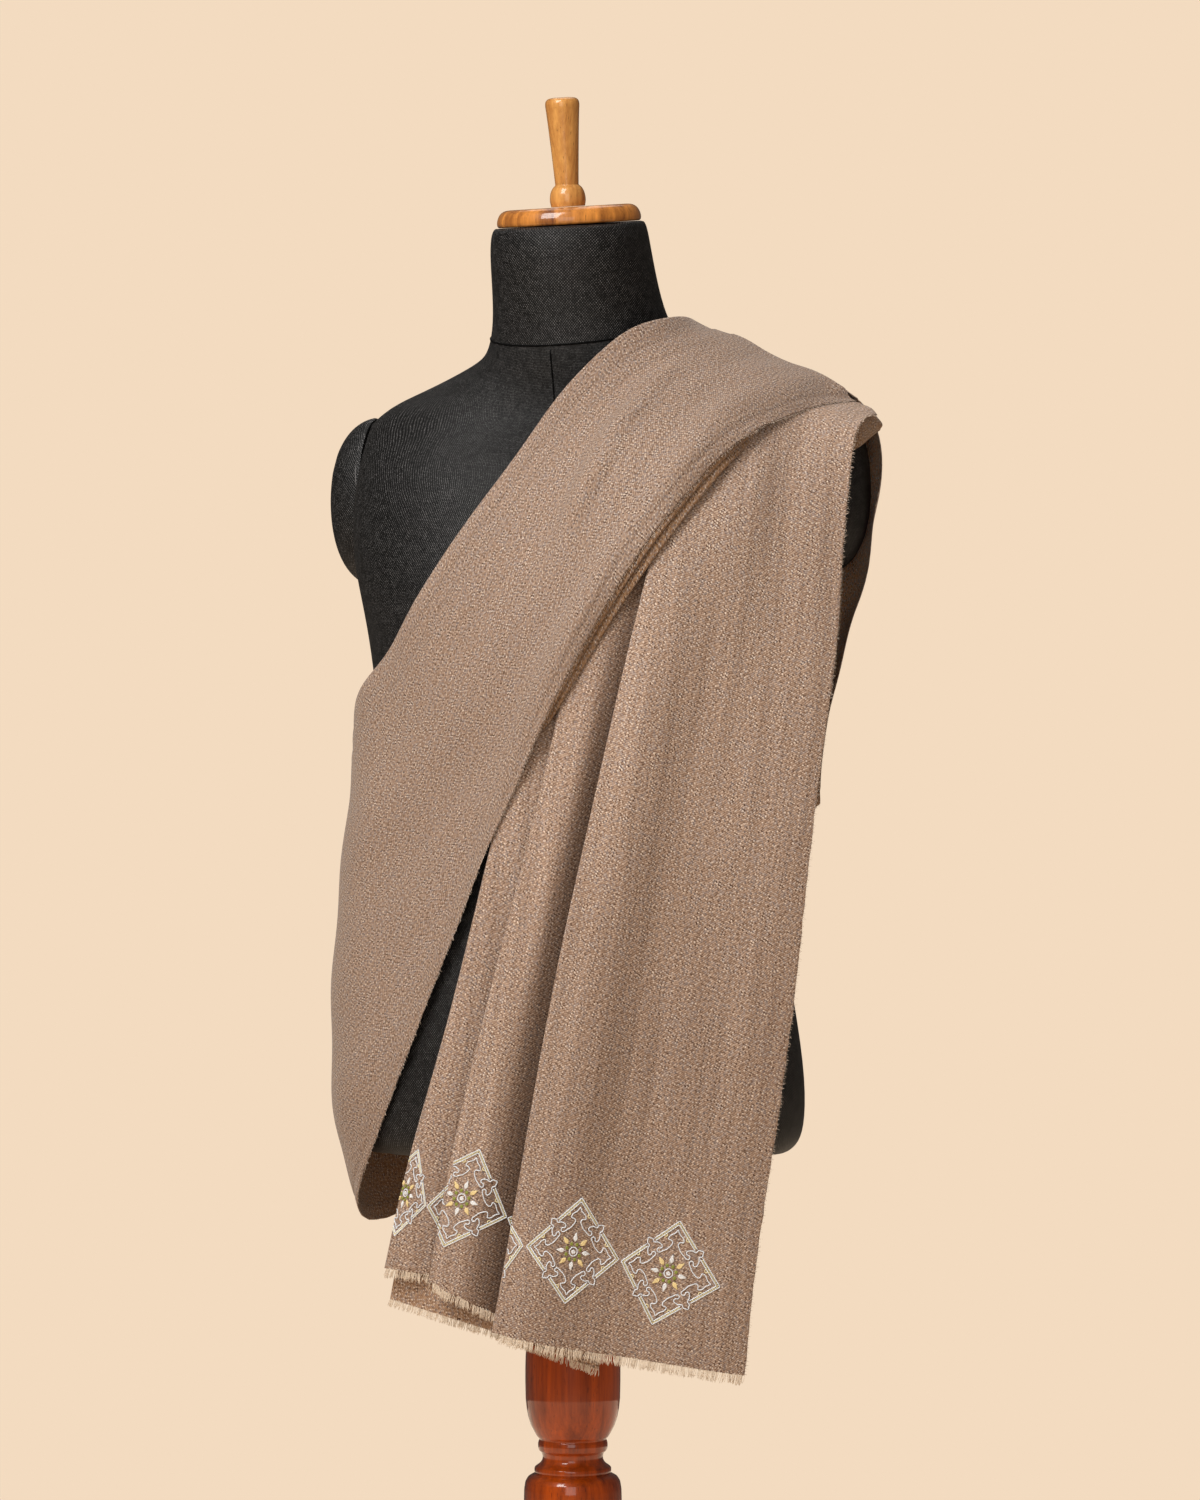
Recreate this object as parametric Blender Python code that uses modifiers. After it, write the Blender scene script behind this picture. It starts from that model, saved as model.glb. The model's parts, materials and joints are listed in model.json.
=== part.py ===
"""A pashmina shawl worn as a sash over the left shoulder of a limbless dress form on a turned wooden stand.

Metres, +Z up. The form faces -Y, its own left side is +X, and the origin is on the floor under the post.
"""

import math

import bmesh
import bpy
import numpy as np
from mathutils import Matrix, Vector
from mathutils.bvhtree import BVHTree

# ---------------------------------------------------------------- driving sizes of the form and its stand
FORM_BOTTOM = 0.800  # height of the underside of the torso above the floor
SECTION_POINTS = 40  # points round a torso section
TORSO_SECTIONS = 27  # sections from the underside to the neck's top
ARMHOLE_X = 0.190  # the flat armhole faces, from the middle plane
ARM_CAP_CENTRE = (0.055, 1.327)  # behind the post, and height, of both arm caps
ARM_CAP_REACH = (0.037, 0.044, 0.071)  # outwards, half depth and half height of an arm cap

# Wood, as radius and height, top down. The neck cap and its handle stand on the neck's sloping top.
NECK_TOP = (0.0, -0.0090, 1.5373)
NECK_CAP_PROFILE = (
    (0.0, 0.0137), (0.0535, 0.0137), (0.0556, 0.0127), (0.0568, 0.0105), (0.0572, 0.0075),
    (0.0575, 0.0040), (0.0572, 0.0012), (0.0562, 0.0), (0.0, 0.0),
)
HANDLE_PROFILE = (
    (0.0, 0.1000), (0.0095, 0.0997), (0.0125, 0.0983), (0.0136, 0.0957), (0.0136, 0.0930),
    (0.0130, 0.0870), (0.0120, 0.0740), (0.0108, 0.0560), (0.0098, 0.0400), (0.0093, 0.0320),
    (0.0100, 0.0302), (0.0118, 0.0285), (0.0136, 0.0250), (0.0143, 0.0215), (0.0143, 0.0180),
    (0.0136, 0.0155), (0.0136, 0.0140), (0.0, 0.0140),
)
POST_PROFILE = (
    (0.0, 0.7997), (0.0300, 0.7997), (0.0300, 0.7850), (0.0210, 0.7800), (0.0210, 0.7000),
    (0.0265, 0.6945), (0.0265, 0.6860), (0.0240, 0.6800), (0.0305, 0.6700), (0.0358, 0.6560),
    (0.0374, 0.6390), (0.0376, 0.6210), (0.0373, 0.6070), (0.0350, 0.5920), (0.0305, 0.5810),
    (0.0270, 0.5745), (0.0274, 0.5690), (0.0270, 0.5655), (0.0244, 0.5630), (0.0238, 0.5600),
    (0.0290, 0.5550), (0.0303, 0.5520), (0.0303, 0.5490), (0.0375, 0.5445), (0.0386, 0.5280),
    (0.0384, 0.4800), (0.0365, 0.4000), (0.0320, 0.3100), (0.0262, 0.2200), (0.0230, 0.1500),
    (0.0240, 0.1200), (0.0320, 0.1050), (0.0320, 0.0930), (0.0255, 0.0800), (0.0290, 0.0600),
    (0.0460, 0.0440), (0.0590, 0.0363), (0.0, 0.0363),
)
BASE_PROFILE = (
    (0.0, 0.0360), (0.1000, 0.0360), (0.1180, 0.0345), (0.1300, 0.0300), (0.1360, 0.0250), (0.1480, 0.0235),
    (0.1640, 0.0215), (0.1700, 0.0160), (0.1710, 0.0080), (0.1690, 0.0015), (0.1660, 0.0), (0.0, 0.0),
)

# Finishes, as linear colour and roughness.
BLACK_CLOTH = ((0.012, 0.011, 0.010), 0.85)
BROWN_WOOD = ((0.30, 0.13, 0.04), 0.35)
HONEY_WOOD = ((0.50, 0.23, 0.07), 0.40)
RED_WOOD = ((0.19, 0.045, 0.012), 0.22)
WOOL = ((0.36, 0.27, 0.20), 0.90)
WOOL_INSIDE = ((0.24, 0.17, 0.12), 0.90)
PALE_YARN = ((0.52, 0.42, 0.32), 0.90)

# ---------------------------------------------------------------- driving sizes of the shawl
CLOTH = 0.001  # thickness of the walls that stand for the cloth
CLOTH_GAP = 0.0008  # clear air kept between two layers that lie on each other
LAID = 0.0011  # from one layer's face to the middle of the layer laid on it
EDGE_ROLL = 0.0017  # radius of a folded edge
EDGE_ROOM = 2 * EDGE_ROLL + 0.0008  # clear height for the return of a folded edge
SASH_DOWN = (-0.598, 0.0, -0.8015)  # from the left shoulder to the right hip
SASH_ACROSS = (0.8015, 0.0, -0.598)  # from the sash's folded edge to its selvedge
HIP_SEAM = (0.95, 1.14)  # stations where the hip turn meets the sash and the back stretch
STRAND = 0.0010  # width of a fringe strand
FRINGE_ROOT = 0.0020  # height of the strip that the strands hang from
FRINGE_DROP = 0.0080  # length of the strands
LOOP_OFFSETS = tuple(-0.90 + 0.02 * i for i in range(25))  # slanting planes that the loops lie in
LOOP_STEPS = 120  # steps along the front half of a loop, and along the back half
LOOP_TOP_Y = 0.045  # the loops part this far behind the post at the shoulder
LOOP_CLEAR = 0.0012  # every loop stays this far off the form
HANG_BELOW = 0.085  # how far below the torso the loops are still held open
NECK_TILT_DEG = 10.0  # the neck's top leans forward by this much
TOUCH = 0.0003  # the gap between two pieces that touch

# One row for each torso section, bottom to top. above: height over the underside. half_width, front
# and back: reach to the side, to the chest and to the back from the section's centre. centre_y: how
# far that centre is behind the post. square: 2 is an ellipse, more is boxier. tilt: rise towards the back.
TORSO_COLUMNS = ("above", "half_width", "front", "back", "centre_y", "square", "tilt")
TORSO_ROWS = (
    (0.000, 0.166, 0.102, 0.100, 0.000, 2.15, 0.00),
    (0.004, 0.176, 0.110, 0.107, 0.000, 2.15, 0.00),
    (0.014, 0.186, 0.117, 0.114, 0.000, 2.15, 0.00),
    (0.045, 0.190, 0.119, 0.118, 0.000, 2.15, 0.00),
    (0.120, 0.179, 0.117, 0.119, 0.000, 2.15, 0.00),
    (0.200, 0.165, 0.111, 0.107, 0.000, 2.15, 0.00),
    (0.280, 0.157, 0.108, 0.096, 0.000, 2.15, 0.00),
    (0.350, 0.160, 0.113, 0.098, 0.001, 2.15, 0.00),
    (0.410, 0.168, 0.122, 0.103, 0.005, 2.20, 0.00),
    (0.450, 0.181, 0.131, 0.101, 0.018, 2.25, 0.00),
    (0.480, 0.192, 0.139, 0.095, 0.034, 2.30, 0.02),
    (0.525, 0.198, 0.146, 0.084, 0.051, 2.30, 0.05),
    (0.560, 0.198, 0.132, 0.077, 0.057, 2.20, 0.10),
    (0.582, 0.195, 0.110, 0.068, 0.055, 2.10, 0.15),
    (0.600, 0.187, 0.097, 0.059, 0.052, 2.00, 0.20),
    (0.6147, 0.149, 0.090, 0.052, 0.046, 1.95, 0.26),
    (0.6287, 0.112, 0.084, 0.050, 0.039, 1.95, 0.32),
    (0.640, 0.086, 0.079, 0.051, 0.031, 2.00, 0.34),
    (0.652, 0.0735, 0.074, 0.055, 0.021, 2.00, 0.32),
    (0.680, 0.0668, 0.068, 0.060, 0.010, 2.00, 0.25),
    (0.710, 0.0648, 0.066, 0.0615, -0.004, 2.00, 0.19),
    (0.733, 0.0625, 0.064, 0.060, -0.009, 2.00, 0.176),
    (0.737, 0.0590, 0.060, 0.057, -0.009, 2.00, 0.176),
)

# The sash, from the left shoulder down the front and round the right hip: one row for each station.
# at: 0 is the shoulder's ridge and 1 the right hip. folded and selvedge: the two edges, as offsets
# across the slanting planes. The lifts are the cloth's height over the taut loops at three places.
SASH_COLUMNS = ("at", "folded", "selvedge", "lift_folded", "lift_third", "lift_two_thirds", "lift_selvedge")
SASH_ROWS = (
    (0.00, -0.806, -0.662, 0.0105, 0.0185, 0.0130, 0.0120),
    (0.08, -0.808, -0.676, 0.0110, 0.0190, 0.0160, 0.0120),
    (0.20, -0.820, -0.686, 0.0070, 0.0160, 0.0185, 0.0135),
    (0.31, -0.822, -0.682, 0.0058, 0.0110, 0.0150, 0.0125),
    (0.45, -0.813, -0.666, 0.0058, 0.0050, 0.0090, 0.0110),
    (0.56, -0.811, -0.644, 0.0058, 0.0030, 0.0050, 0.0100),
    (0.67, -0.808, -0.622, 0.0058, 0.0050, 0.0040, 0.0060),
    (0.77, -0.808, -0.600, 0.0058, 0.0090, 0.0050, 0.0040),
    (0.86, -0.810, -0.588, 0.0175, 0.0195, 0.0100, 0.0055),
    (0.95, -0.810, -0.583, 0.0160, 0.0240, 0.0135, 0.0095),
)

# The stretch behind: from the right hip (1) up across the back to the left shoulder (2).
BACK_ROWS = (
    (0.95, -0.810, -0.583, 0.0160, 0.0240, 0.0135, 0.0095),
    (1.02, -0.808, -0.575, 0.0160, 0.0225, 0.0140, 0.0140),
    (1.10, -0.806, -0.570, 0.0120, 0.0150, 0.0090, 0.0100),
    (1.25, -0.804, -0.560, 0.0058, 0.0030, 0.0030, 0.0050),
    (1.45, -0.804, -0.535, 0.0058, 0.0000, 0.0040, 0.0080),
    (1.62, -0.805, -0.520, 0.0058, 0.0000, 0.0060, 0.0120),
    (1.78, -0.806, -0.525, 0.0058, 0.0000, 0.0110, 0.0200),
    (1.90, -0.806, -0.530, 0.0058, 0.0020, 0.0200, 0.0320),
    (2.00, -0.806, -0.530, 0.0058, 0.0035, 0.0225, 0.0450),
    (2.05, -0.806, -0.530, 0.0058, 0.0035, 0.0225, 0.0450),
)
BACK_END = ((0.0, 1.992), (0.35, 1.99), (0.45, 1.984), (0.6, 1.985), (1.0, 1.985))  # where the stretch ends

# The hanging front end, from the shoulder's ridge to its fringed hem: one row for each level.
# fall: share of the way from the ridge to the hem. right_x: the selvedge. fold1_x to fold3_x: the
# three pleat edges. front_y and right_y: how far forward the cloth hangs. layer: step between layers.
PANEL_COLUMNS = ("fall", "right_x", "fold1_x", "fold2_x", "fold3_x", "front_y", "right_y", "layer")
PANEL_ROWS = (
    (0.000, 0.2475, 0.1520, 0.1280, 0.1060, 0.040, 0.041, 0.0016),
    (0.012, 0.2440, 0.1500, 0.1250, 0.1030, 0.010, 0.014, 0.0016),
    (0.035, 0.2358, 0.1450, 0.1190, 0.0960, -0.028, -0.010, 0.0016),
    (0.070, 0.2345, 0.1370, 0.1090, 0.0850, -0.060, -0.018, 0.0016),
    (0.120, 0.2330, 0.1260, 0.0950, 0.0690, -0.090, -0.028, 0.0017),
    (0.190, 0.2312, 0.1115, 0.0770, 0.0490, -0.110, -0.037, 0.0018),
    (0.280, 0.2278, 0.0970, 0.0600, 0.0320, -0.117, -0.045, 0.0019),
    (0.400, 0.2168, 0.0770, 0.0385, 0.0085, -0.118, -0.052, 0.0021),
    (0.550, 0.2052, 0.0525, 0.0115, -0.0195, -0.119, -0.058, 0.0024),
    (0.700, 0.1923, 0.0285, -0.0185, -0.0475, -0.121, -0.062, 0.0028),
    (0.850, 0.1737, 0.0080, -0.0455, -0.0790, -0.121, -0.066, 0.0034),
    (0.930, 0.1670, -0.0040, -0.0595, -0.0975, -0.119, -0.068, 0.0038),
    (1.000, 0.1617, -0.0143, -0.0690, -0.1092, -0.117, -0.070, 0.0042),
)
PANEL_LEVELS = (0.0, 0.012, 0.03, 0.055, 0.09, 0.135, 0.19, 0.27, 0.37, 0.49, 0.62, 0.76, 0.89, 1.0)
# heights of the hem: at the selvedge, the first pleat, its tuck, the second, its tuck and the third
PANEL_HEM = (0.6395, 0.6720, 0.6850, 0.7085, 0.7125, 0.7165)
UNDER_HEM = (0.6920, 0.6480)  # heights of the inner layer's hem, from its left to its right edge
UNDER_WIDTH = 0.170  # the inner layer shows this far to the right of the third pleat
RIDGE_LINE = ((0.05, 1.464), (0.09, 1.449), (0.19, 1.400), (0.24, 1.384))  # x and height of the ridge

# The tail, down the back from the ridge over the sash's end: one row for each level.
TAIL_COLUMNS = ("fall", "inner_x", "outer_x", "back_y", "wave")
TAIL_ROWS = (
    (0.000, 0.0900, 0.2000, 0.050, 0.000),
    (0.020, 0.0890, 0.2000, 0.075, 0.000),
    (0.080, 0.0830, 0.1960, 0.105, 0.001),
    (0.180, 0.0720, 0.1830, 0.130, 0.002),
    (0.320, 0.0560, 0.1640, 0.140, 0.004),
    (0.500, 0.0380, 0.1460, 0.142, 0.007),
    (0.700, 0.0200, 0.1320, 0.142, 0.010),
    (0.880, 0.0060, 0.1210, 0.141, 0.013),
    (1.000, -0.0020, 0.1140, 0.140, 0.015),
)
TAIL_HEM = 0.835  # height of the tail's hem


def steps(count):
    return np.linspace(0.0, 1.0, count)


def curve_through(positions, values, at):
    """Smooth values at the given positions: a cubic through every row, with no overshoot."""
    x = np.asarray(positions, float)
    y = np.asarray(values, float)
    y = y.reshape(len(x), -1)
    at = np.clip(np.asarray(at, float), x[0], x[-1])
    run = np.diff(x)[:, None]
    slope = np.diff(y, axis=0) / run
    tangent = np.zeros_like(y)
    tangent[0], tangent[-1] = slope[0], slope[-1]
    before, after = slope[:-1], slope[1:]
    same = before * after > 0
    mean = 2.0 * before * after / np.where(same, before + after, 1.0)
    tangent[1:-1] = np.where(same, mean, 0.0)
    i = np.clip(np.searchsorted(x, at, side="right") - 1, 0, len(x) - 2)
    t = ((at - x[i]) / (x[i + 1] - x[i]))[:, None]
    h = (x[i + 1] - x[i])[:, None]
    return (
        (2 * t**3 - 3 * t**2 + 1) * y[i]
        + (t**3 - 2 * t**2 + t) * h * tangent[i]
        + (3 * t**2 - 2 * t**3) * y[i + 1]
        + (t**3 - t**2) * h * tangent[i + 1]
    )


def torso_ring(above, turn):
    """Points of one torso section; turn is 0 at +X, a quarter at the chest and a half at -X."""
    row = dict(zip(TORSO_COLUMNS, curve_through([r[0] for r in TORSO_ROWS], TORSO_ROWS, [above])[0]))
    c, s = np.cos(turn), np.sin(turn)
    power = 2.0 / row["square"]
    x = row["half_width"] * np.sign(c) * np.abs(c) ** power
    depth = np.where(s > 0, row["front"], row["back"])
    y = row["centre_y"] - depth * np.sign(s) * np.abs(s) ** power
    z = FORM_BOTTOM + above + row["tilt"] * (y - row["centre_y"])
    return np.stack([x, y, z], axis=-1)


def torso_heights(count):
    """Heights of the sections, closer together at the hem's edge, the shoulders and the neck."""
    rows = [r[0] for r in TORSO_ROWS]
    return curve_through(steps(len(rows)), rows, steps(count))[:, 0]


# ---------------------------------------------------------------- collections, finishes and mesh helpers
def clear_scene():
    for thing in list(bpy.data.objects):
        bpy.data.objects.remove(thing, do_unlink=True)


def collection(name):
    made = bpy.data.collections.new(name)
    bpy.context.scene.collection.children.link(made)
    return made


def put(name, mesh, finish, place):
    """An object for a mesh, in its collection, with a material of its own in the given finish."""
    colour, roughness = finish
    material = bpy.data.materials.new(name)
    material.use_nodes = True
    shader = material.node_tree.nodes["Principled BSDF"]
    shader.inputs["Base Color"].default_value = (*colour, 1.0)
    shader.inputs["Roughness"].default_value = roughness
    shader.inputs["Metallic"].default_value = 0.0
    thing = bpy.data.objects.new(name, mesh)
    mesh.materials.append(material)
    mesh.shade_smooth()
    mesh.set_sharp_from_angle(angle=math.radians(40))
    place.objects.link(thing)
    return thing


def loft(name, rings, capped=True):
    """A skin over closed rings of equal length, with a fan of faces at each end."""
    count, points = rings.shape[:2]
    mesh = bmesh.new()
    verts = [[mesh.verts.new(p) for p in ring] for ring in rings]
    for low, high in zip(verts, verts[1:]):
        for i in range(points):
            j = (i + 1) % points
            mesh.faces.new((low[i], low[j], high[j], high[i]))
    if capped:
        for ring in (verts[0], verts[-1]):
            middle = mesh.verts.new(sum((v.co for v in ring), Vector()) / points)
            for i in range(points):
                mesh.faces.new((ring[i], ring[(i + 1) % points], middle))
    bmesh.ops.recalc_face_normals(mesh, faces=mesh.faces)
    data = bpy.data.meshes.new(name)
    mesh.to_mesh(data)
    mesh.free()
    return data


# ---------------------------------------------------------------- the dress form
def make_torso(place, finish):
    turn = steps(SECTION_POINTS + 1)[:-1] * 2 * math.pi
    rings = np.array([torso_ring(h, turn) for h in torso_heights(TORSO_SECTIONS)])
    data = loft("torso", rings)
    mesh = bmesh.new()
    mesh.from_mesh(data)
    for side in (1, -1):
        cut = bmesh.ops.bisect_plane(
            mesh,
            geom=mesh.verts[:] + mesh.edges[:] + mesh.faces[:],
            plane_co=(side * ARMHOLE_X, 0, 0),
            plane_no=(side, 0, 0),
            clear_outer=True,
        )
        edges = [e for e in cut["geom_cut"] if isinstance(e, bmesh.types.BMEdge)]
        bmesh.ops.contextual_create(mesh, geom=edges)
    bmesh.ops.recalc_face_normals(mesh, faces=mesh.faces)
    mesh.to_mesh(data)
    mesh.free()
    return put("form_torso", data, finish, place)


def arm_cap_ring(rise, turn):
    """One ring of the left arm cap; rise is 0 at the armhole and a quarter turn at the tip."""
    reach, half_depth, half_height = ARM_CAP_REACH
    size = max(math.cos(rise), 0.0) ** 0.7
    x = np.full(len(turn), ARMHOLE_X + TOUCH + reach * math.sin(rise))
    y = ARM_CAP_CENTRE[0] - half_depth * size * np.cos(turn)
    z = ARM_CAP_CENTRE[1] + half_height * size * np.sin(turn)
    return np.stack([x, y, z], axis=-1)


def make_arm_cap(name, side, place, finish):
    turn = steps(25)[:-1] * 2 * math.pi
    rises = np.radians((0, 14, 32, 50, 67, 82))
    rings = np.array([arm_cap_ring(rise, turn) for rise in rises])
    rings[:, :, 0] *= side
    return put(name, loft(name, rings), finish, place)


def body_grids():
    """Fine grids of the bare form for the cloth to be laid on: torso, both caps and the air just below it."""
    turn = steps(97)[:-1] * 2 * math.pi
    rings = [torso_ring(h, turn) for h in torso_heights(110)]
    below = rings[0].copy()
    below[:, 2] -= HANG_BELOW
    torso = np.array([below] + rings)
    cap = np.array([arm_cap_ring(rise, turn) for rise in np.radians(steps(25) * 89.0)])
    return [torso, cap, cap * (-1, 1, 1)]


# ---------------------------------------------------------------- loops laid taut round the form
def slice_grid(grid, normal, offset):
    """Where a plane cuts the lines of a grid of closed rings."""
    reach = grid @ normal - offset
    found = []
    for a, b, fa, fb in (
        (grid[:-1], grid[1:], reach[:-1], reach[1:]),
        (grid, np.roll(grid, -1, axis=1), reach, np.roll(reach, -1, axis=1)),
    ):
        hit = fa * fb < 0
        part = (fa[hit] / (fa[hit] - fb[hit]))[:, None]
        found.append(a[hit] + part * (b[hit] - a[hit]))
    return np.concatenate(found)


def hull_of(points):
    """The convex outline of flat points, anticlockwise from the least."""
    order = sorted(map(tuple, points))

    def chain(row):
        kept = []
        for p in row:
            while len(kept) > 1:
                (ax, ay), (bx, by) = kept[-2], kept[-1]
                if (bx - ax) * (p[1] - ay) - (by - ay) * (p[0] - ax) > 0:
                    break
                kept.pop()
            kept.append(p)
        return kept[:-1]

    return np.array(chain(order) + chain(order[::-1]))


def even_line(line, count):
    """A polyline resampled at even steps."""
    run = np.concatenate([[0.0], np.cumsum(np.linalg.norm(np.diff(line, axis=0), axis=1))])
    at = steps(count) * run[-1]
    return np.stack([np.interp(at, run, line[:, i]) for i in range(line.shape[1])], axis=-1)


def split_outline(outline):
    """The front and back halves of an outline, parted at the shoulder and at the hip."""

    def crossing(depth, low_side):
        found = []
        for i, (a, b) in enumerate(zip(outline, np.roll(outline, -1, axis=0))):
            if (a[1] - depth) * (b[1] - depth) <= 0 and a[1] != b[1]:
                found.append((i, a + (depth - a[1]) / (b[1] - a[1]) * (b - a)))
        return min(found, key=lambda f: f[1][0] if low_side else -f[1][0])

    start, top = crossing(LOOP_TOP_Y, True)
    end, foot = crossing(0.0, False)
    count = len(outline)
    first = [outline[(start + 1 + k) % count] for k in range((end - start) % count)]
    second = [outline[(end + 1 + k) % count] for k in range((start - end) % count)]
    return np.array([top] + first + [foot]), np.array([foot] + second + [top])


def make_loops():
    """Taut loops round the form in parallel slanting planes: shoulder, front, hip, back, shoulder."""
    down = np.array(SASH_DOWN)
    across = np.array(SASH_ACROSS)
    turn = steps(25)[:-1] * 2 * math.pi
    disc = LOOP_CLEAR * np.stack([np.cos(turn), np.sin(turn)], axis=-1)
    grids = body_grids()
    loops = []
    for offset in LOOP_OFFSETS:
        points = np.concatenate([slice_grid(g, across, offset) for g in grids])
        outline = hull_of(np.stack([points @ down, points[:, 1]], axis=-1))
        outline = hull_of((outline[:, None, :] + disc[None]).reshape(-1, 2))
        front, back = split_outline(outline)
        loops.append(np.concatenate([even_line(front, LOOP_STEPS + 1), even_line(back, LOOP_STEPS + 1)[1:]]))
    flat = np.array(loops)
    for _ in range(4):
        flat[1:-1] = (flat[:-2] + 2 * flat[1:-1] + flat[2:]) / 4
    solid = flat[:, :, :1] * down + across * np.array(LOOP_OFFSETS)[:, None, None]
    solid[:, :, 1] = flat[:, :, 1]
    return solid


# ---------------------------------------------------------------- laying one layer on another
def tree_of(thing):
    """A finished solid, ready for rays: its evaluated faces in world space."""
    bpy.context.view_layer.update()
    shaped = thing.evaluated_get(bpy.context.evaluated_depsgraph_get())
    data = shaped.to_mesh()
    verts = [thing.matrix_world @ v.co for v in data.vertices]
    faces = [tuple(f.vertices) for f in data.polygons]
    shaped.to_mesh_clear()
    return BVHTree.FromPolygons(verts, faces)


def outward_of(grid, towards):
    """Unit normals of a grid, on the side that the given direction points to."""
    normal = np.cross(np.gradient(grid, axis=1), np.gradient(grid, axis=0))
    normal /= np.linalg.norm(normal, axis=-1, keepdims=True) + 1e-12
    if (normal * towards).sum() < 0:
        normal = -normal
    return normal


def lay_over(grid, outward, trees, gap, edge_gap=0.0, reach=0.03, fine=3):
    """The grid, moved outwards wherever it is less than the gap above the solids under it.

    The extra gap at the first column leaves room for an edge that is turned under there.
    """

    def finer(table):
        for axis in (0, 1):
            count = table.shape[axis]
            marks = steps((count - 1) * fine + 1) * (count - 1)
            low = np.minimum(marks.astype(int), count - 2)
            part = (marks - low).reshape((-1, 1, 1) if axis == 0 else (1, -1, 1))
            table = np.take(table, low, axis) * (1 - part) + np.take(table, low + 1, axis) * part
        return table

    points, normals = finer(grid), finer(outward)
    needed = np.zeros(points.shape[:2])
    gaps = gap + edge_gap * np.clip(1 - np.arange(points.shape[1]) / fine, 0, 1)
    for i, j in np.ndindex(*needed.shape):
        start = Vector(points[i, j] + reach * normals[i, j])
        for tree in trees:
            hit = tree.ray_cast(start, Vector(-normals[i, j]), 2 * reach)
            if hit[0] is not None:
                needed[i, j] = max(needed[i, j], gaps[j] + reach - hit[3])
    rows, columns = needed.shape
    wide = np.pad(needed, 1, mode="edge")
    beside = [wide[a : a + rows, b : b + columns] for a in range(3) for b in range(3)]
    needed = np.max(beside, axis=0)
    rise = needed[::fine, ::fine].copy()
    near = [(a, b) for a in range(1 - fine, fine) for b in range(1 - fine, fine)]
    for _ in range(30):
        lack = np.pad(np.maximum(needed - finer(rise[..., None])[..., 0], 0), fine)
        share = np.zeros(needed.shape)
        for a, b in near:
            weight = (1 - abs(a) / fine) * (1 - abs(b) / fine)
            moved = lack[fine + a : fine + a + rows, fine + b : fine + b + columns]
            share = np.maximum(share, weight * moved)
        rise += 1.3 * share[::fine, ::fine]
    eased = rise
    for _ in range(2):
        wide = np.pad(eased, 1, mode="edge")
        eased = (4 * eased + wide[:-2, 1:-1] + wide[2:, 1:-1] + wide[1:-1, :-2] + wide[1:-1, 2:]) / 8
    return grid + np.maximum(rise, eased)[..., None] * outward


def roll_edge(grid, outward, last, angles=(45, 90, 135, 180), back=0.004):
    """The grid with one long edge turned under in a small round fold, and a short return."""
    edge, beside = (grid[:, -1], grid[:, -2]) if last else (grid[:, 0], grid[:, 1])
    up = outward[:, -1] if last else outward[:, 0]
    away = edge - beside
    away -= (away * up).sum(axis=-1, keepdims=True) * up
    away /= np.linalg.norm(away, axis=-1, keepdims=True)
    centre = edge - EDGE_ROLL * up
    turned = []
    for angle in np.radians(angles):
        turned.append(centre + EDGE_ROLL * (math.cos(angle) * up + math.sin(angle) * away))
    if back:
        turned.append(turned[-1] - back * away)
    extra = np.stack(turned, axis=1)
    if last:
        return np.concatenate([grid, extra], axis=1)
    return np.concatenate([extra[:, ::-1], grid], axis=1)


def sheet(name, grid, place, finish):
    """A wall of even thickness about a grid of points, as an open surface with Solidify."""
    rows, columns = grid.shape[:2]
    faces = []
    for i in range(rows - 1):
        for j in range(columns - 1):
            a = i * columns + j
            b, c, d = a + 1, a + columns + 1, a + columns
            faces += [(a, b, c), (a, c, d)]
    data = bpy.data.meshes.new(name)
    data.from_pydata([tuple(p) for p in grid.reshape(-1, 3)], [], faces)
    thing = put(name, data, finish, place)
    wall = thing.modifiers.new("wall", "SOLIDIFY")
    wall.thickness = CLOTH
    wall.offset = 0.0
    return thing


# ---------------------------------------------------------------- the sash, the hip turn and the back stretch
def on_loops(loops, at, offset, lift):
    """Points at stations round the loops and offsets across them, lifted off the taut surface."""
    outward = outward_of(loops, loops - loops.mean(axis=1, keepdims=True))
    column = np.asarray(at, float) * LOOP_STEPS % (loops.shape[1] - 1)
    row = (np.asarray(offset, float) - LOOP_OFFSETS[0]) / (LOOP_OFFSETS[1] - LOOP_OFFSETS[0])
    row = np.clip(row, 0, loops.shape[0] - 1.000001)
    i, j = row.astype(int), column.astype(int)
    a, b = (row - i)[..., None], (column - j)[..., None]

    def blend(table):
        low = (1 - b) * table[i, j] + b * table[i, j + 1]
        high = (1 - b) * table[i + 1, j] + b * table[i + 1, j + 1]
        return (1 - a) * low + a * high

    normal = blend(outward)
    return blend(loops) + np.asarray(lift)[..., None] * normal, normal


def band(loops, rows, stations, columns, end=None):
    """A stretch of the sash between its two edges, as points and their outward normals."""
    share = steps(columns)
    at = np.repeat(np.asarray(stations)[:, None], columns, axis=1)
    if end is not None:
        last = np.interp(share, [e[0] for e in end], [e[1] for e in end])
        at = at[0] + (at - at[0]) * (last - at[0]) / (at[-1] - at[0])
    offset, lift = np.zeros(at.shape), np.zeros(at.shape)
    for j, s in enumerate(share):
        table = curve_through([r[0] for r in rows], rows, at[:, j])
        offset[:, j] = table[:, 1] * (1 - s) + table[:, 2] * s
        for i, lifts in enumerate(table[:, 3:7]):
            lift[i, j] = curve_through((0, 1 / 3, 2 / 3, 1), lifts, [s])[0, 0]
    return on_loops(loops, at, offset, lift)


# ---------------------------------------------------------------- the hanging front end
def ridge_height(x):
    return np.interp(x, [p[0] for p in RIDGE_LINE], [p[1] for p in RIDGE_LINE])


def panel_row(fall):
    table = curve_through([r[0] for r in PANEL_ROWS], PANEL_ROWS, [fall])[0]
    return dict(zip(PANEL_COLUMNS, table))


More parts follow.
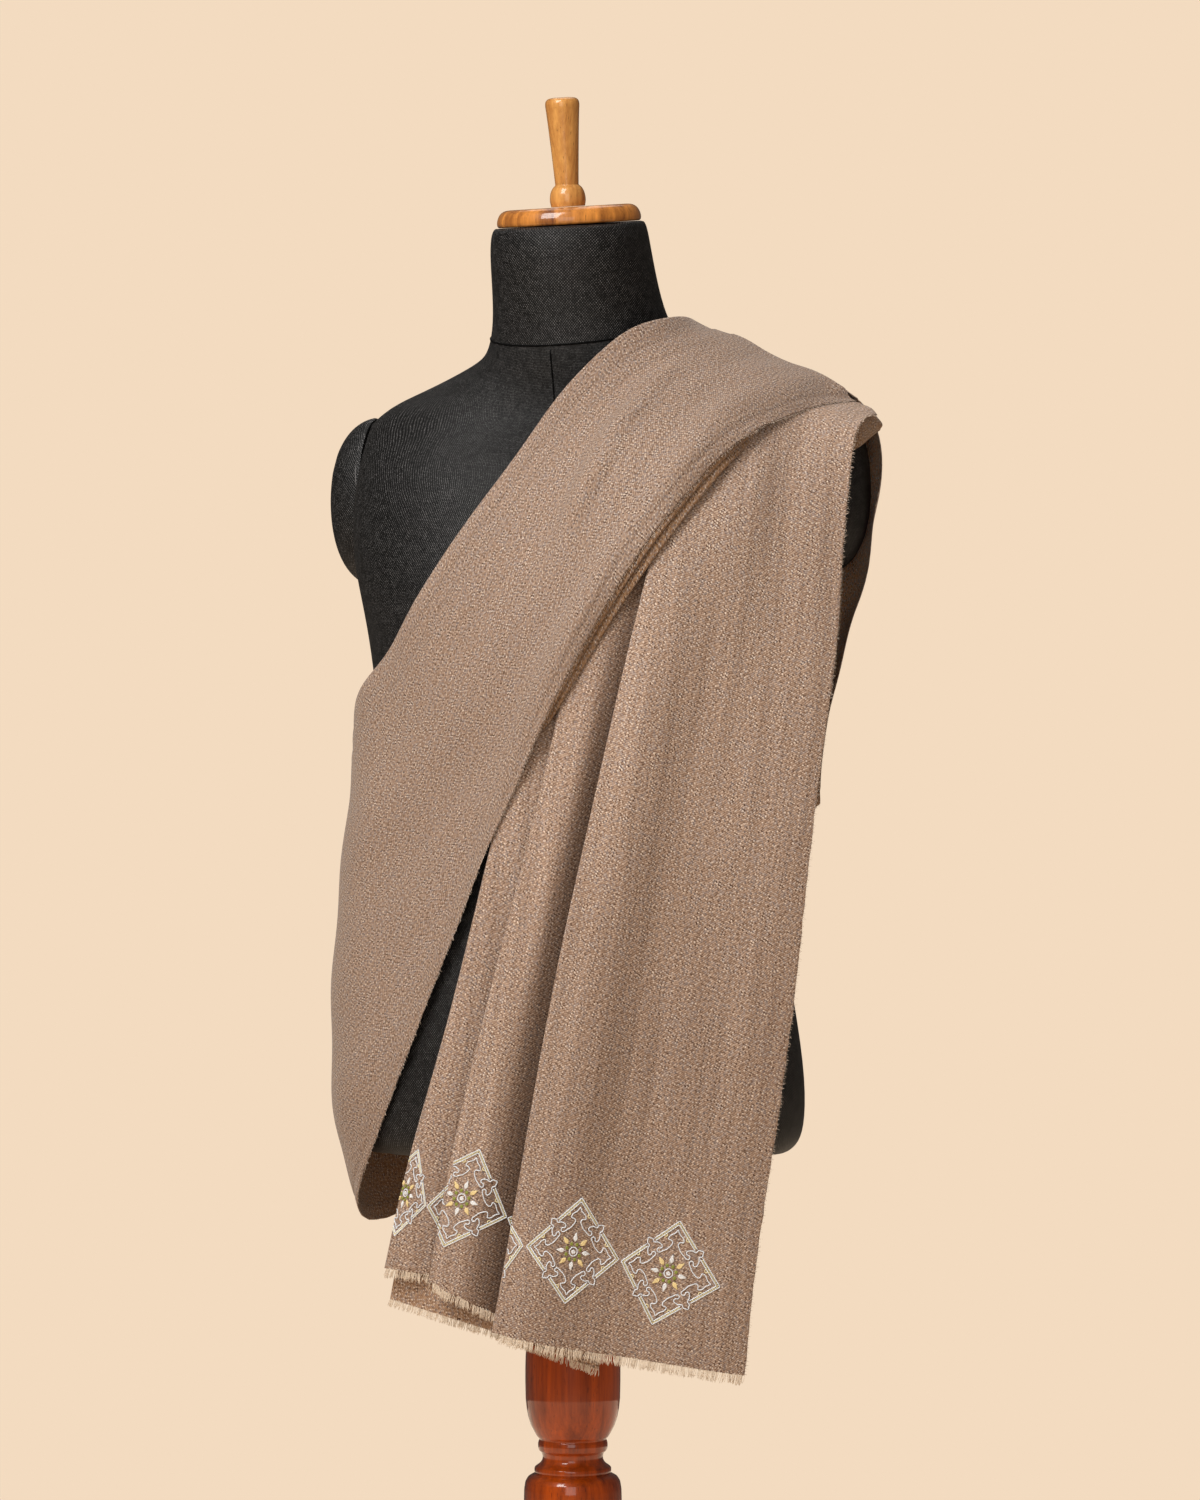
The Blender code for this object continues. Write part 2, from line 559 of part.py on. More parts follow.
def panel_surface(x, z):
    """The one surface that every layer of the hanging end follows, over width and height."""
    hem = PANEL_HEM[0] + (PANEL_HEM[5] - PANEL_HEM[0]) * np.clip((0.16 - x) / 0.27, 0, 1)
    fall = (ridge_height(x) - z) / (ridge_height(x) - hem)
    table = curve_through([r[0] for r in PANEL_ROWS], PANEL_ROWS, fall)
    right_x, front_y, right_y = table[:, 1], table[:, 5], table[:, 6]
    share = np.clip((x - 0.03) / (right_x - 0.03), 0, 1.02)
    y = front_y + (right_y - front_y) * share**2.2
    return np.stack([x, y, z], axis=-1)


def panel_frame(x, hem, fall):
    """Points of the hanging surface and their outward normals at one level."""
    z = ridge_height(x) * (1 - fall) + hem * fall
    wide = panel_surface(x + 0.002, z) - panel_surface(x - 0.002, z)
    tall = panel_surface(x, z + 0.003) - panel_surface(x, z - 0.003)
    normal = np.cross(wide, tall)
    return panel_surface(x, z), normal / np.linalg.norm(normal, axis=-1, keepdims=True)


def panel_section(fall):
    """One level of the pleated front: x, layer level and hem height of every column."""
    row = panel_row(fall)
    radius = row["layer"] / 2
    fold1, fold2, fold3 = row["fold1_x"], row["fold2_x"], row["fold3_x"]
    tuck1 = fold1 + 0.026 + 0.006 * fall
    tuck2 = fold2 + 0.020 + 0.005 * fall
    columns = []

    def run(x0, x1, level, hem0, hem1, shares):
        for s in shares:
            columns.append((x0 + (x1 - x0) * s, level, hem0 + (hem1 - hem0) * s))

    def arc(x, side, high, hem):
        for angle in np.radians((90, 30, -30, -90)):
            level = high - 0.5 + 0.5 * math.sin(angle)
            columns.append((x - side * radius * (1 - math.cos(angle)), level, hem))

    shares = (0, 0.1, 0.24, 0.38, 0.52, 0.66, 0.8, 0.91)
    broad = [row["right_x"] + (tuck1 - row["right_x"]) * s for s in shares]
    for x in broad + [tuck1, (2 * tuck1 + fold1) / 3, (tuck1 + 2 * fold1) / 3]:
        share = (row["right_x"] - x) / (row["right_x"] - fold1)
        ease = min(max((share - 0.35) / 0.3, 0.0), 1.0)
        hem = PANEL_HEM[0] + (PANEL_HEM[1] - PANEL_HEM[0]) * share
        columns.append((x, 1.6 + 4.4 * ease * ease * (3 - 2 * ease), hem))
    arc(fold1, -1, 6, PANEL_HEM[1])
    run(fold1, tuck1, 5.0, PANEL_HEM[1], PANEL_HEM[2], (1 / 3, 2 / 3))
    arc(tuck1, 1, 5, PANEL_HEM[2])
    run(tuck1, fold1, 4.0, PANEL_HEM[2], PANEL_HEM[2], (1 / 3, 2 / 3, 1))
    split = (fold1 - tuck2) / (fold1 - fold2)
    run(fold1, fold2, 4.0, PANEL_HEM[2], PANEL_HEM[3], (split, (1 + split) / 2))
    arc(fold2, -1, 4, PANEL_HEM[3])
    run(fold2, tuck2, 3.0, PANEL_HEM[3], PANEL_HEM[4], (1 / 2,))
    arc(tuck2, 1, 3, PANEL_HEM[4])
    run(tuck2, fold2, 2.0, PANEL_HEM[4], PANEL_HEM[4], (1 / 2, 1))
    run(fold2, fold3, 2.0, PANEL_HEM[4], PANEL_HEM[5], (1 / 2,))
    arc(fold3, -1, 2, PANEL_HEM[5])
    run(fold3, fold3 + 0.02, 1.0, PANEL_HEM[5], PANEL_HEM[5], (0.5, 1.0))
    return np.array(columns).T, row["layer"]


def panel_rises(falls, trees):
    """For each level, how far the hanging surface must rise to clear the form, at even widths."""
    plain, normal, widths = [], [], []
    for fall in falls:
        row = panel_row(fall)
        x = row["right_x"] + (row["fold3_x"] - 0.005 - row["right_x"]) * steps(17)
        hem = PANEL_HEM[0] + (PANEL_HEM[5] - PANEL_HEM[0]) * steps(17)
        points, outward = panel_frame(x, hem, fall)
        plain.append(points)
        normal.append(outward)
        widths.append(x)
    plain, normal = np.array(plain), np.array(normal)
    rise = np.linalg.norm(lay_over(plain, normal, trees, LAID) - plain, axis=-1)
    return list(zip(falls, widths, rise))


def panel_grid(trees):
    base, normal, height = [], [], []
    for fall, even, rise in panel_rises(PANEL_LEVELS, trees):
        (x, level, hem), layer = panel_section(fall)
        points, outward = panel_frame(x, hem, fall)
        base.append(points)
        normal.append(outward)
        height.append(level * layer + np.interp(x, even[::-1], rise[::-1]))
    base, normal, height = np.array(base), np.array(normal), np.array(height)
    return base + height[..., None] * normal


def under_grid(trees):
    """The inner layer of the hanging end, seen below the pleats' hem."""
    base, normal, height = [], [], []
    for fall in (0.46, 0.58, 0.7, 0.82, 0.92, 1.0):
        row = panel_row(fall)
        share = steps(9)
        x = row["fold3_x"] + 0.002 + UNDER_WIDTH * share
        hem = UNDER_HEM[0] + (UNDER_HEM[1] - UNDER_HEM[0]) * share
        points, outward = panel_frame(x, hem, fall)
        base.append(points)
        normal.append(outward)
        height.append(np.full(len(x), 0.25 * row["layer"]))
    base, normal, height = np.array(base), np.array(normal), np.array(height)
    return lay_over(base, normal, trees, LAID) + height[..., None] * normal


# ---------------------------------------------------------------- the tail
def tail_grid(meeting, trees):
    """The tail from its seam with the sash, over the shoulder and down the back in soft waves."""
    rows = []
    share = steps(17)
    start = even_line(meeting, 17) + (0.0, 0.0011, -0.0002)
    shift = 0.0
    for fall in (0.0, 0.012, 0.03, 0.06, 0.1, 0.16, 0.24, 0.34, 0.46, 0.6, 0.74, 0.88, 1.0):
        row = dict(zip(TAIL_COLUMNS, curve_through([r[0] for r in TAIL_ROWS], TAIL_ROWS, [fall])[0]))
        x = row["inner_x"] + (row["outer_x"] - row["inner_x"]) * share
        y = row["back_y"] + row["wave"] * (0.5 - 0.5 * np.cos(2 * math.pi * 3 * share))
        z = (ridge_height(x) + 0.005) * (1 - fall) + TAIL_HEM * fall
        points = np.stack([x, y, z], axis=-1)
        if fall == 0.0:
            shift = start - points
        rows.append(points + shift * math.exp(-fall / 0.05))
    grid = np.array(rows)
    outward = outward_of(grid, np.array((0.0, 1.0, 0.3)))
    return lay_over(grid, outward, trees, LAID)


# ---------------------------------------------------------------- fringes
def fringe(name, grid, count, place, finish):
    """A narrow strip under a hem with strands hanging from it, as one body."""
    run = np.concatenate([[0.0], np.cumsum(np.linalg.norm(np.diff(grid[-1], axis=0), axis=1))])
    even = steps(400) * run[-1]

    def along(table):
        return np.stack([np.interp(even, run, table[:, i]) for i in range(3)], axis=-1)

    hem, down = along(grid[-1]), along(grid[-1] - grid[-2])
    down /= np.linalg.norm(down, axis=-1, keepdims=True)
    across = np.gradient(hem, axis=0)
    out = np.cross(across, down)
    out /= np.linalg.norm(out, axis=-1, keepdims=True)
    length = np.linalg.norm(np.diff(hem, axis=0), axis=1).sum()
    pitch = length / count
    marks = [0.0]
    for k in range(count):
        marks += [(k + 0.5) * pitch - STRAND / 2, (k + 0.5) * pitch + STRAND / 2]
    marks = np.array(marks + [length]) / length * (len(hem) - 1)

    def at(table):
        return np.stack([np.interp(marks, np.arange(len(table)), table[:, i]) for i in range(3)], axis=-1)

    hem, down, out = at(hem), at(down), at(out)
    mesh = bmesh.new()

    def ring(depth, width):
        front = hem + depth * down + 0.5 * width * out
        back = hem + depth * down - 0.5 * width * out
        return [mesh.verts.new(p) for p in front], [mesh.verts.new(p) for p in back]

    top_front, top_back = ring(TOUCH, CLOTH * 0.8)
    low_front, low_back = ring(TOUCH + FRINGE_ROOT, CLOTH * 0.8)
    last = len(marks) - 1
    for i in range(last):
        j = i + 1
        mesh.faces.new((top_front[i], top_front[j], low_front[j], low_front[i]))
        mesh.faces.new((top_back[j], top_back[i], low_back[i], low_back[j]))
        mesh.faces.new((top_back[i], top_back[j], top_front[j], top_front[i]))
        if i % 2 == 0:
            mesh.faces.new((low_front[i], low_front[j], low_back[j], low_back[i]))
            continue
        sway = 0.0012 * math.sin(1.7 * i) * (hem[j] - hem[i]) / STRAND
        drop = FRINGE_DROP * (0.9 + 0.1 * math.sin(2.3 * i))
        middle = (hem[i] + hem[j]) / 2
        tip = []
        for vert in (low_front[i], low_front[j], low_back[j], low_back[i]):
            root = np.array(vert.co) - (TOUCH + FRINGE_ROOT) * down[i]
            tip.append(mesh.verts.new(middle + 0.7 * (root - middle) + drop * down[i] + sway))
        roots = (low_front[i], low_front[j], low_back[j], low_back[i])
        for k in range(4):
            mesh.faces.new((roots[k], roots[(k + 1) % 4], tip[(k + 1) % 4], tip[k]))
        mesh.faces.new(tip)
    for end in (0, last):
        mesh.faces.new((top_front[end], low_front[end], low_back[end], top_back[end]))
    bmesh.ops.recalc_face_normals(mesh, faces=mesh.faces)
    data = bpy.data.meshes.new(name)
    mesh.to_mesh(data)
    mesh.free()
    return put(name, data, finish, place)


# ---------------------------------------------------------------- turned wood
def turned(name, profile, segments, place, finish):
    """A solid turned from a profile of radius and height, listed from the top down."""
    data = bpy.data.meshes.new(name)
    points = [(radius, 0.0, height) for radius, height in profile]
    data.from_pydata(points, [(i, i + 1) for i in range(len(points) - 1)], [])
    thing = put(name, data, finish, place)
    screw = thing.modifiers.new("turn", "SCREW")
    screw.axis = "Z"
    screw.angle = 2 * math.pi
    screw.steps = segments
    screw.render_steps = segments
    screw.use_merge_vertices = True
    screw.merge_threshold = 0.00001
    return thing


def make_wood(place):
    disc = turned("form_neck_cap", NECK_CAP_PROFILE, 32, place, BROWN_WOOD)
    handle = turned("form_handle", HANDLE_PROFILE, 18, place, HONEY_WOOD)
    for thing in (disc, handle):
        thing.location = NECK_TOP
        thing.rotation_euler = (math.radians(NECK_TILT_DEG), 0.0, 0.0)
    turned("stand_post", POST_PROFILE, 24, place, RED_WOOD)
    turned("stand_base", BASE_PROFILE, 32, place, RED_WOOD)


def make_under_fold(name, loops, below, trees, place, finish):
    """One rounded inner fold of the sash, which shows a little below its selvedge."""
    stations = 0.14 + 0.35 * steps(15)
    table = curve_through([r[0] for r in SASH_ROWS], SASH_ROWS, stations)
    fade = np.sin(math.pi * steps(15)) ** 0.5
    share = steps(4)[None, :]
    edge = table[:, 2] + below * fade - 0.002
    offset = edge[:, None] - 0.022 * (1 - share)
    at = np.repeat(stations[:, None], 4, axis=1)
    grid, outward = on_loops(loops, at, offset, np.full(at.shape, 0.004))
    grid = lay_over(grid, outward, trees, LAID + EDGE_ROLL)
    return sheet(name, roll_edge(grid, outward, True, (45, 90), 0.0), place, finish)


def main():
    clear_scene()
    form = collection("dress_form")
    shawl = collection("pashmina_shawl")
    torso = make_torso(form, BLACK_CLOTH)
    left_cap = make_arm_cap("form_arm_cap_left", 1, form, BLACK_CLOTH)
    make_arm_cap("form_arm_cap_right", -1, form, BLACK_CLOTH)
    make_wood(form)
    body = [tree_of(torso), tree_of(left_cap)]

    panel = panel_grid(body)
    panel_solid = sheet("shawl_front_panel", panel, shawl, WOOL)
    fringe("fringe_front_panel", panel[:, :11], 34, shawl, PALE_YARN)
    fringe("fringe_front_pleat_middle", panel[:, 23:27], 12, shawl, PALE_YARN)
    fringe("fringe_front_pleat_left", panel[:, 36:39], 9, shawl, PALE_YARN)
    under = under_grid(body)
    sheet("shawl_front_inner_layer", under, shawl, WOOL_INSIDE)
    fringe("fringe_front_inner_layer", under, 20, shawl, PALE_YARN)

    loops = make_loops()
    seam = 0.0004
    stations = np.interp(steps(22), (0, 0.55, 1), (HIP_SEAM[1] + seam, 1.72, 2.0))
    back, outward = band(loops, BACK_ROWS, stations, 12, BACK_END)
    back = lay_over(back, outward, body, LAID, EDGE_ROOM)
    back_solid = sheet("shawl_back_stretch", roll_edge(back, outward, False), shawl, WOOL)

    stations = HIP_SEAM[0] + seam + (HIP_SEAM[1] - HIP_SEAM[0] - 2 * seam) * steps(7)
    hip, outward = band(loops, BACK_ROWS, stations, 12)
    sheet("shawl_hip_turn", roll_edge(hip, outward, False), shawl, WOOL)

    under_trees = body + [tree_of(panel_solid)]
    first = make_under_fold("shawl_sash_fold_lower", loops, 0.011, under_trees, shawl, WOOL_INSIDE)
    under_trees.append(tree_of(first))
    second = make_under_fold("shawl_sash_fold_upper", loops, 0.005, under_trees, shawl, WOOL_INSIDE)
    under_trees.append(tree_of(second))

    stations = (HIP_SEAM[0] - seam) * steps(30)
    sash, outward = band(loops, SASH_ROWS, stations, 12)
    sash = lay_over(sash, outward, under_trees + [tree_of(back_solid)], LAID, EDGE_ROOM, fine=5)
    sheet("shawl_front_sash", roll_edge(sash, outward, False), shawl, WOOL)

    tail = tail_grid(sash[0], body + [tree_of(back_solid)])
    sheet("shawl_tail", tail, shawl, WOOL)
    fringe("fringe_tail", tail, 24, shawl, PALE_YARN)


main()
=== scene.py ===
"""Looks of a pashmina shawl worn as a sash over a limbless dress form on a turned wooden stand.

Metres, +Z up. The form faces -Y and its own left side is +X. A cloth piece is a thin shell on the middle
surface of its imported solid, refined, creased and woven here. Only the shoulder's turned-in layer has none.
"""

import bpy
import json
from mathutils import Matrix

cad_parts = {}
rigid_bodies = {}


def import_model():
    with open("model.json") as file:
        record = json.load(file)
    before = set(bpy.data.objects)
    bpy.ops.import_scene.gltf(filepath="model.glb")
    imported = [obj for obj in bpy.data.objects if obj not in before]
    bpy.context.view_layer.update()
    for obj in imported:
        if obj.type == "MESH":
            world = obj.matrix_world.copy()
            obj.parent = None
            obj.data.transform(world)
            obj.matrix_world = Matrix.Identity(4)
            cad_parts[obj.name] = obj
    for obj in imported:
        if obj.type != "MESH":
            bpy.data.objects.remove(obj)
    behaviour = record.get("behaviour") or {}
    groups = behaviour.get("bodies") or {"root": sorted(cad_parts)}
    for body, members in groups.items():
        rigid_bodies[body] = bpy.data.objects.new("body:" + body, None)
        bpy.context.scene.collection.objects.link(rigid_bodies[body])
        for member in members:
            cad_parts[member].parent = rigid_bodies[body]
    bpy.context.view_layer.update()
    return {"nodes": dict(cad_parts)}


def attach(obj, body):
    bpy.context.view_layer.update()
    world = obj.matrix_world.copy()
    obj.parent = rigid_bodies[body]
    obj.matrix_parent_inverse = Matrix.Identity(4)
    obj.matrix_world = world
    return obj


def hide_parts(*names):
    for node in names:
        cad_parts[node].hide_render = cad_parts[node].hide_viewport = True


bl_info = {
    "name": "Pashmina Shawl on a Dress Form",
    "version": (1, 0, 0),
    "blender": (4, 5, 0),
    "location": "View3D > Sidebar > Shawl",
    "description": "Cloth, embroidery, fringes, black form cover and turned woods over the packed frame",
    "category": "Object",
}

import json
import math

import bmesh
import bpy
import numpy as np
from bpy.props import FloatProperty, FloatVectorProperty, PointerProperty
from mathutils import Matrix, Vector
from mathutils.bvhtree import BVHTree

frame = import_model()

# ---------------------------------------------------------------- sizes that the solids share
WALL = 0.001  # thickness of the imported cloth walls
MERGE = 0.000002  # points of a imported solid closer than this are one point
NECK_TOP = (0.0, -0.0090, 1.5373)
NECK_TILT_DEG = 10.0
NECK_SEAM_Z = 1.4510  # height of the neck-base seam at the post's axis
NECK_SEAM_TILT = 0.30  # its rise towards the back
TORSO_RADIUS = 0.160  # at which the cover's weave is wound round the torso
NECK_RADIUS = 0.068  # and round the neck

# Turned wood, as radius and height in millimetres, top down. Cap and handle stand on the neck's sloping top.
NECK_CAP_PROFILE = (
    (0, 13.7), (46.5, 13.7), (49.8, 13.4), (52.4, 12.5), (54.5, 10.9), (56, 8.7), (57, 6.1),
    (57.5, 3.6), (57.3, 1.6), (56.6, 0.4), (55.5, 0), (0, 0),
)
HANDLE_PROFILE = (
    (0, 100), (8.5, 99.8), (11.2, 99.1), (12.9, 97.7), (13.6, 95.5), (13.6, 93), (13.3, 90.5), (13, 87),
    (12, 74), (10.8, 56), (9.8, 40), (9.4, 32.5), (9.3, 31), (10.2, 30.3), (11.6, 29), (12.8, 27),
    (13.7, 24.5), (14.2, 21.5), (14.3, 18.5), (14, 16.5), (13.6, 15), (13.6, 14), (0, 14),
)
POST_PROFILE = (
    (0, 799.7), (30, 799.7), (30, 785), (21, 780), (21, 700), (26.5, 694.5), (26.5, 686), (24, 680),
    (27.6, 674.5), (30.5, 670), (33.6, 663.5), (35.8, 656), (36.9, 648), (37.4, 639), (37.6, 630),
    (37.6, 621), (37.3, 607), (36.4, 599), (35, 592), (33, 585.8), (30.5, 581), (28.4, 577.2),
    (26.2, 575.2), (27, 573.6), (27.5, 571.5), (27.4, 569), (26.8, 566.2), (25, 565), (24, 562.8),
    (23.7, 560.5), (24.2, 558.5), (25.8, 556.2), (28.2, 554.5), (30.3, 553), (30.3, 549.2),
    (29.2, 548.4), (32, 547.4), (35.2, 545.6), (37.4, 542), (38.4, 536), (38.6, 528), (38.4, 480),
    (36.5, 400), (32, 310), (26.2, 220), (23, 150), (24, 120), (32, 105), (32, 93), (25.5, 80),
    (29, 60), (46, 44), (59, 36.3), (0, 36.3),
)
BASE_PROFILE = (
    (0, 36), (100, 36), (110, 35.5), (118, 34.5), (125, 32.5), (130, 30), (133.5, 27), (136, 25),
    (142, 24.2), (148, 23.5), (157, 22.9), (164, 21.5), (168, 19.2), (170, 16), (171, 12), (171, 8),
    (170.5, 4), (169, 1.5), (166, 0), (0, 0),
)
ROUNDING = 0.0006  # cut off both sides of a profile's corners, twice over, to soften them

CENTRE_SEAM = (0.812, 1.436)  # lowest and highest point of the torso's front and back seams
SEAM_STEP = 0.004
FLOOR_RADIUS = 3.4
FLOOR_FADE = (0.5, 2.4)  # from where to where the floor fades into the backdrop

# ---------------------------------------------------------------- the camera's frame
FRAME_WIDTH = 1200  # places in the frame are counted from its upper left corner
FRAME_HEIGHT = 1500
FOCAL = 4200  # the eye's distance from the frame, in the same measure
SENSOR = 36.0  # the sensor's longer side in millimetres
VIEW_TURN_DEG = 20.0  # the camera's place, from the form's front towards its own left side
AIM_ACROSS = 27  # how far right of the post the middle of the frame lies
AIM_UP = 150  # and how far above the camera's own height

# Each soft light's degrees round from the front, degrees up, metres away, width and colour.
LIGHTS = {
    "key_light": (-13.0, 44.0, 2.4, 1.0, (1.0, 0.985, 0.96)),
    "fill_light": (15.0, 9.0, 3.4, 1.5, (1.0, 0.96, 0.92)),
    "top_light": (200.0, 68.0, 3.0, 1.6, (1.0, 0.96, 0.92)),
}
LIT_MIDDLE = Vector((0.0, 0.0, 1.1))  # where they point

# The stitched seam of the right arm cap, as places in the frame.
ARM_SEAM = ((359, 446), (355.5, 470), (356.5, 486), (359, 502), (361.5, 536), (361, 560), (362, 574))
# The embroidered squares of the front hem: the places in the frame where their top, right, bottom and left
# corners show on the cloth. A square that a pleat folds over shows in two parts, right and left of that
# pleat's edge.
SQUARES = (
    (((680, 1221), (720, 1287), (652, 1324.5), (621, 1261)), None, None),
    (((582, 1197.8), (618.7, 1259.2), (564.7, 1303.4), (527, 1246)), None, None),
    (((489, 1185), (523.5, 1245.5), (483, 1302), (447.5, 1241.5)), "first", None),
    (((574, 1194), (598, 1260), (532.5, 1284), (508, 1218)), None, "first"),
    (((480, 1149.5), (507, 1217), (444, 1247), (417, 1179.5)), "second", None),
    (((477.5, 1158), (508, 1212), (457, 1260), (427, 1206)), None, "second"),
    (((419, 1149.5), (426, 1205.5), (395, 1236), (384, 1180)), None, None),
)
# The edges of the pleats, as places down and across the frame.
FOLD_EDGES = {
    "first": ((1082, 537), (1332, 494)),
    "second": ((1108, 468), (1185, 449), (1281, 431)),
}
# The turned-in layer at the left shoulder, from its top row down: places in the frame, and millimetres that
# each point lies beyond FLAP_START, which is metres from the eye.
FLAP_START = 3.2
FLAP_ROWS = (
    ((845, 415, 90), (849, 410, 96), (851, 406, 105), (853, 404, 114), (856, 403, 124)),
    ((851, 421, 76), (861, 415, 84), (867, 413, 96), (874.5, 416, 108), (881.5, 423, 120)),
    ((848, 435, 70), (859, 430, 77), (866, 428.5, 89), (874, 427.5, 104), (880.5, 428, 118)),
    ((845, 455, 64), (856.5, 448.5, 73), (864, 443, 85), (872, 436, 102), (880, 430, 118)),
)
# Places across the frame between which the sash's selvedge comes down on to the panel.
HUG_ACROSS = (766, 808)
HUG_ROWS = 140  # the band's fine rows that may come down
HUG_GAP = 0.0013  # how far above the panel's middle surface they stay

# ---------------------------------------------------------------- the cloth
# Each piece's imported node, columns of its packed grid, way from its last row to its first, millimetres
# between its fine rows and columns, width and length of the flat cut of what shows, and what it lies on.
CLOTH_COLUMNS = ("piece", "node", "columns", "first_row", "steps", "flat", "rests_on")
CLOTH_ROWS = (
    ("panel_cloth", "shawl_front_panel", 44, (0, 0, 1), (5, 2.2), (0.375, 0.825), "form_torso"),
    ("inner_layer_cloth", "shawl_front_inner_layer", 9, (0, 0, 1), (6, 4), (0.178, 0.433), "form_torso"),
    ("sash_cloth", "shawl_front_sash", 17, (0, 0, 1), (4.2, 2.1), (0.182, 0.694), "form_torso"),
    ("hip_cloth", "shawl_hip_turn", 17, (0, -1, 0), (4.2, 2.1), (0.376, 0.140), "form_torso"),
    ("back_cloth", "shawl_back_stretch", 17, (0, 0, -1), (4.2, 2.1), (0.326, 0.536), "form_torso"),
    ("tail_cloth", "shawl_tail", 17, (0, 0, 1), (5, 2.5), (0.129, 0.650), "form_torso"),
    ("fold_lower_cloth", "shawl_sash_fold_lower", 6, (0, 0, 1), (5, 2.5), (0.032, 0.290), "panel_cloth"),
    ("fold_upper_cloth", "shawl_sash_fold_upper", 6, (0, 0, 1), (5, 2.5), (0.032, 0.290), "panel_cloth"),
    ("shoulder_flap_cloth", None, None, None, (2, 2), (0.062, 0.034), "panel_cloth"),
)
CLOTH = {row[0]: dict(zip(CLOTH_COLUMNS, row)) for row in CLOTH_ROWS}
GRIDS = {}  # the finished middle surfaces, by piece
# Each fringe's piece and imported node, the cloth that it hangs from, the first and last column of that cloth's
# packed grid, its yarns' share of the fringe length, and the seed of its draws.
FRINGES = (
    ("fringe_panel", "fringe_front_panel", "panel_cloth", 0, 10, 1.0, 11),
    ("fringe_pleat_middle", "fringe_front_pleat_middle", "panel_cloth", 23, 26, 1.0, 12),
    ("fringe_pleat_left", "fringe_front_pleat_left", "panel_cloth", 36, 38, 1.0, 13),
    ("fringe_inner_layer", "fringe_front_inner_layer", "inner_layer_cloth", 0, 8, 0.8, 21),
    ("fringe_tail_end", "fringe_tail", "tail_cloth", 0, 16, 0.8, 22),
)
PANEL_FRONT = (0.2, -1.0, 0.0)  # the way that the panel's outer side faces
FOLD_FRONT = (-0.3, -1.0, 0.0)
TAIL_FRONT = (0.0, 1.0, 0.3)
FLAP_FRONT = (0.3, -1.0, 0.3)

# How far each column of the front panel stands forward of its packed place at the hem, in millimetres:
# a roll along the first pleat, whose crest lies a finger's width from its edge, and one on each later
# pleat, with a trough where it dips under its neighbour.
PANEL_RELIEF = (
    (0, 4.0), (1, 3.0), (2, 1.0), (3, -2.0), (4, -4.5), (5, -8.0), (6, -8.5), (7, -1.5), (8, 5.0), (9, 9.0),
    (10, 9.0), (11, 6.5), (14, 6.0), (15, 6.0), (16, 5.0), (17, 3.0), (20, 0.0), (21, -2.0), (22, -4.0),
    (23, -5.5), (23.4, -4.0), (24, 5.5), (25, 8.0), (26, 6.5), (29, 6.0), (30, 6.0), (31, 4.0), (34, 0.0),
    (35, -2.0), (36, -3.0), (36.4, -1.5), (37, 3.0), (38, 3.0), (41, 2.0), (42, 1.0), (43, 0.0),
)
RELIEF_BY_ROW = ((0, 0.0), (5, 0.0), (7, 0.30), (9, 0.65), (11, 0.9), (13, 1.0))
# Small moves of the panel's top outer corner: row, column, sideways and up, in millimetres.
CORNER_MOVES = (
    (0, 0, -7.6, -5.4), (0, 1, -5.4, -0.4), (0, 2, -2.6, 0.0),
    (1, 0, -5.0, -0.8), (1, 1, -3.4, -0.6), (1, 2, -1.4, 0.0),
)
# Darker reddish lines along the broad run: place across it, width and strength.
DARKER_LINES = ((0.017, 0.0045, 1.0), (0.031, 0.004, 0.7), (0.048, 0.004, 0.5))
INNER_LAYER_DROP = 0.006  # how far the inner layer's lower right corner hangs below its packed place

# Half of one side's scroll, in millimetres from the square's centre, towards its lower side; the other
# half is its mirror image, and each side repeats it.
SCROLL = (
    (25.0, -25.0), (20.6, -24.2), (16.0, -24.6), (14.2, -23.2), (15.6, -21.2), (15.6, -19.2), (12.4, -17.7),
    (8.6, -17.3), (4.6, -18.0), (1.5, -19.0), (1.2, -20.8), (3.0, -21.8), (5.2, -20.6), (6.6, -21.4),
    (6.2, -24.2), (4.2, -26.6), (2.4, -27.8), (2.8, -30.2), (1.5, -32.0), (0.0, -34.0),
)
BORDER_SPUR = ((-15.8, -28.4), (-15.2, -26.8), (-14.0, -26.0), (-12.8, -26.8), (-12.4, -28.4))
SQUARE_HALF = 30.0  # half the side of an embroidered square, in millimetres
BORDER_GAP = 3.4  # half of the gap in the border for the scroll's tip
THREAD_RADII = {"silver": 0.00045, "cream": 0.00042, "white": 0.00058, "yellow": 0.00058, "green": 0.00055}
FRINGE_PACE = 0.00036  # how far apart the fringe's yarns grow
FUZZ_PACE = 0.0011  # and the loose fibres of a raw edge


def linear(red, green, blue):
    """A colour given as a screen shows it, 0 to 255, as linear light."""
    parts = (c / 255 for c in (red, green, blue))
    return tuple(((c + 0.055) / 1.055) ** 2.4 if c > 0.04 else c / 12.92 for c in parts)


def colour(label, about, value):
    return FloatVectorProperty(
        name=label, description=about, default=value, size=3, subtype="COLOR", min=0.0, max=1.0
    )


def number(label, about, value, unit="NONE", **more):
    """A setting from zero up."""
    return FloatProperty(name=label, description=about, default=value, min=0.0, unit=unit, **more)


def length(label, about, value):
    return number(label, about, value, "LENGTH", subtype="DISTANCE")


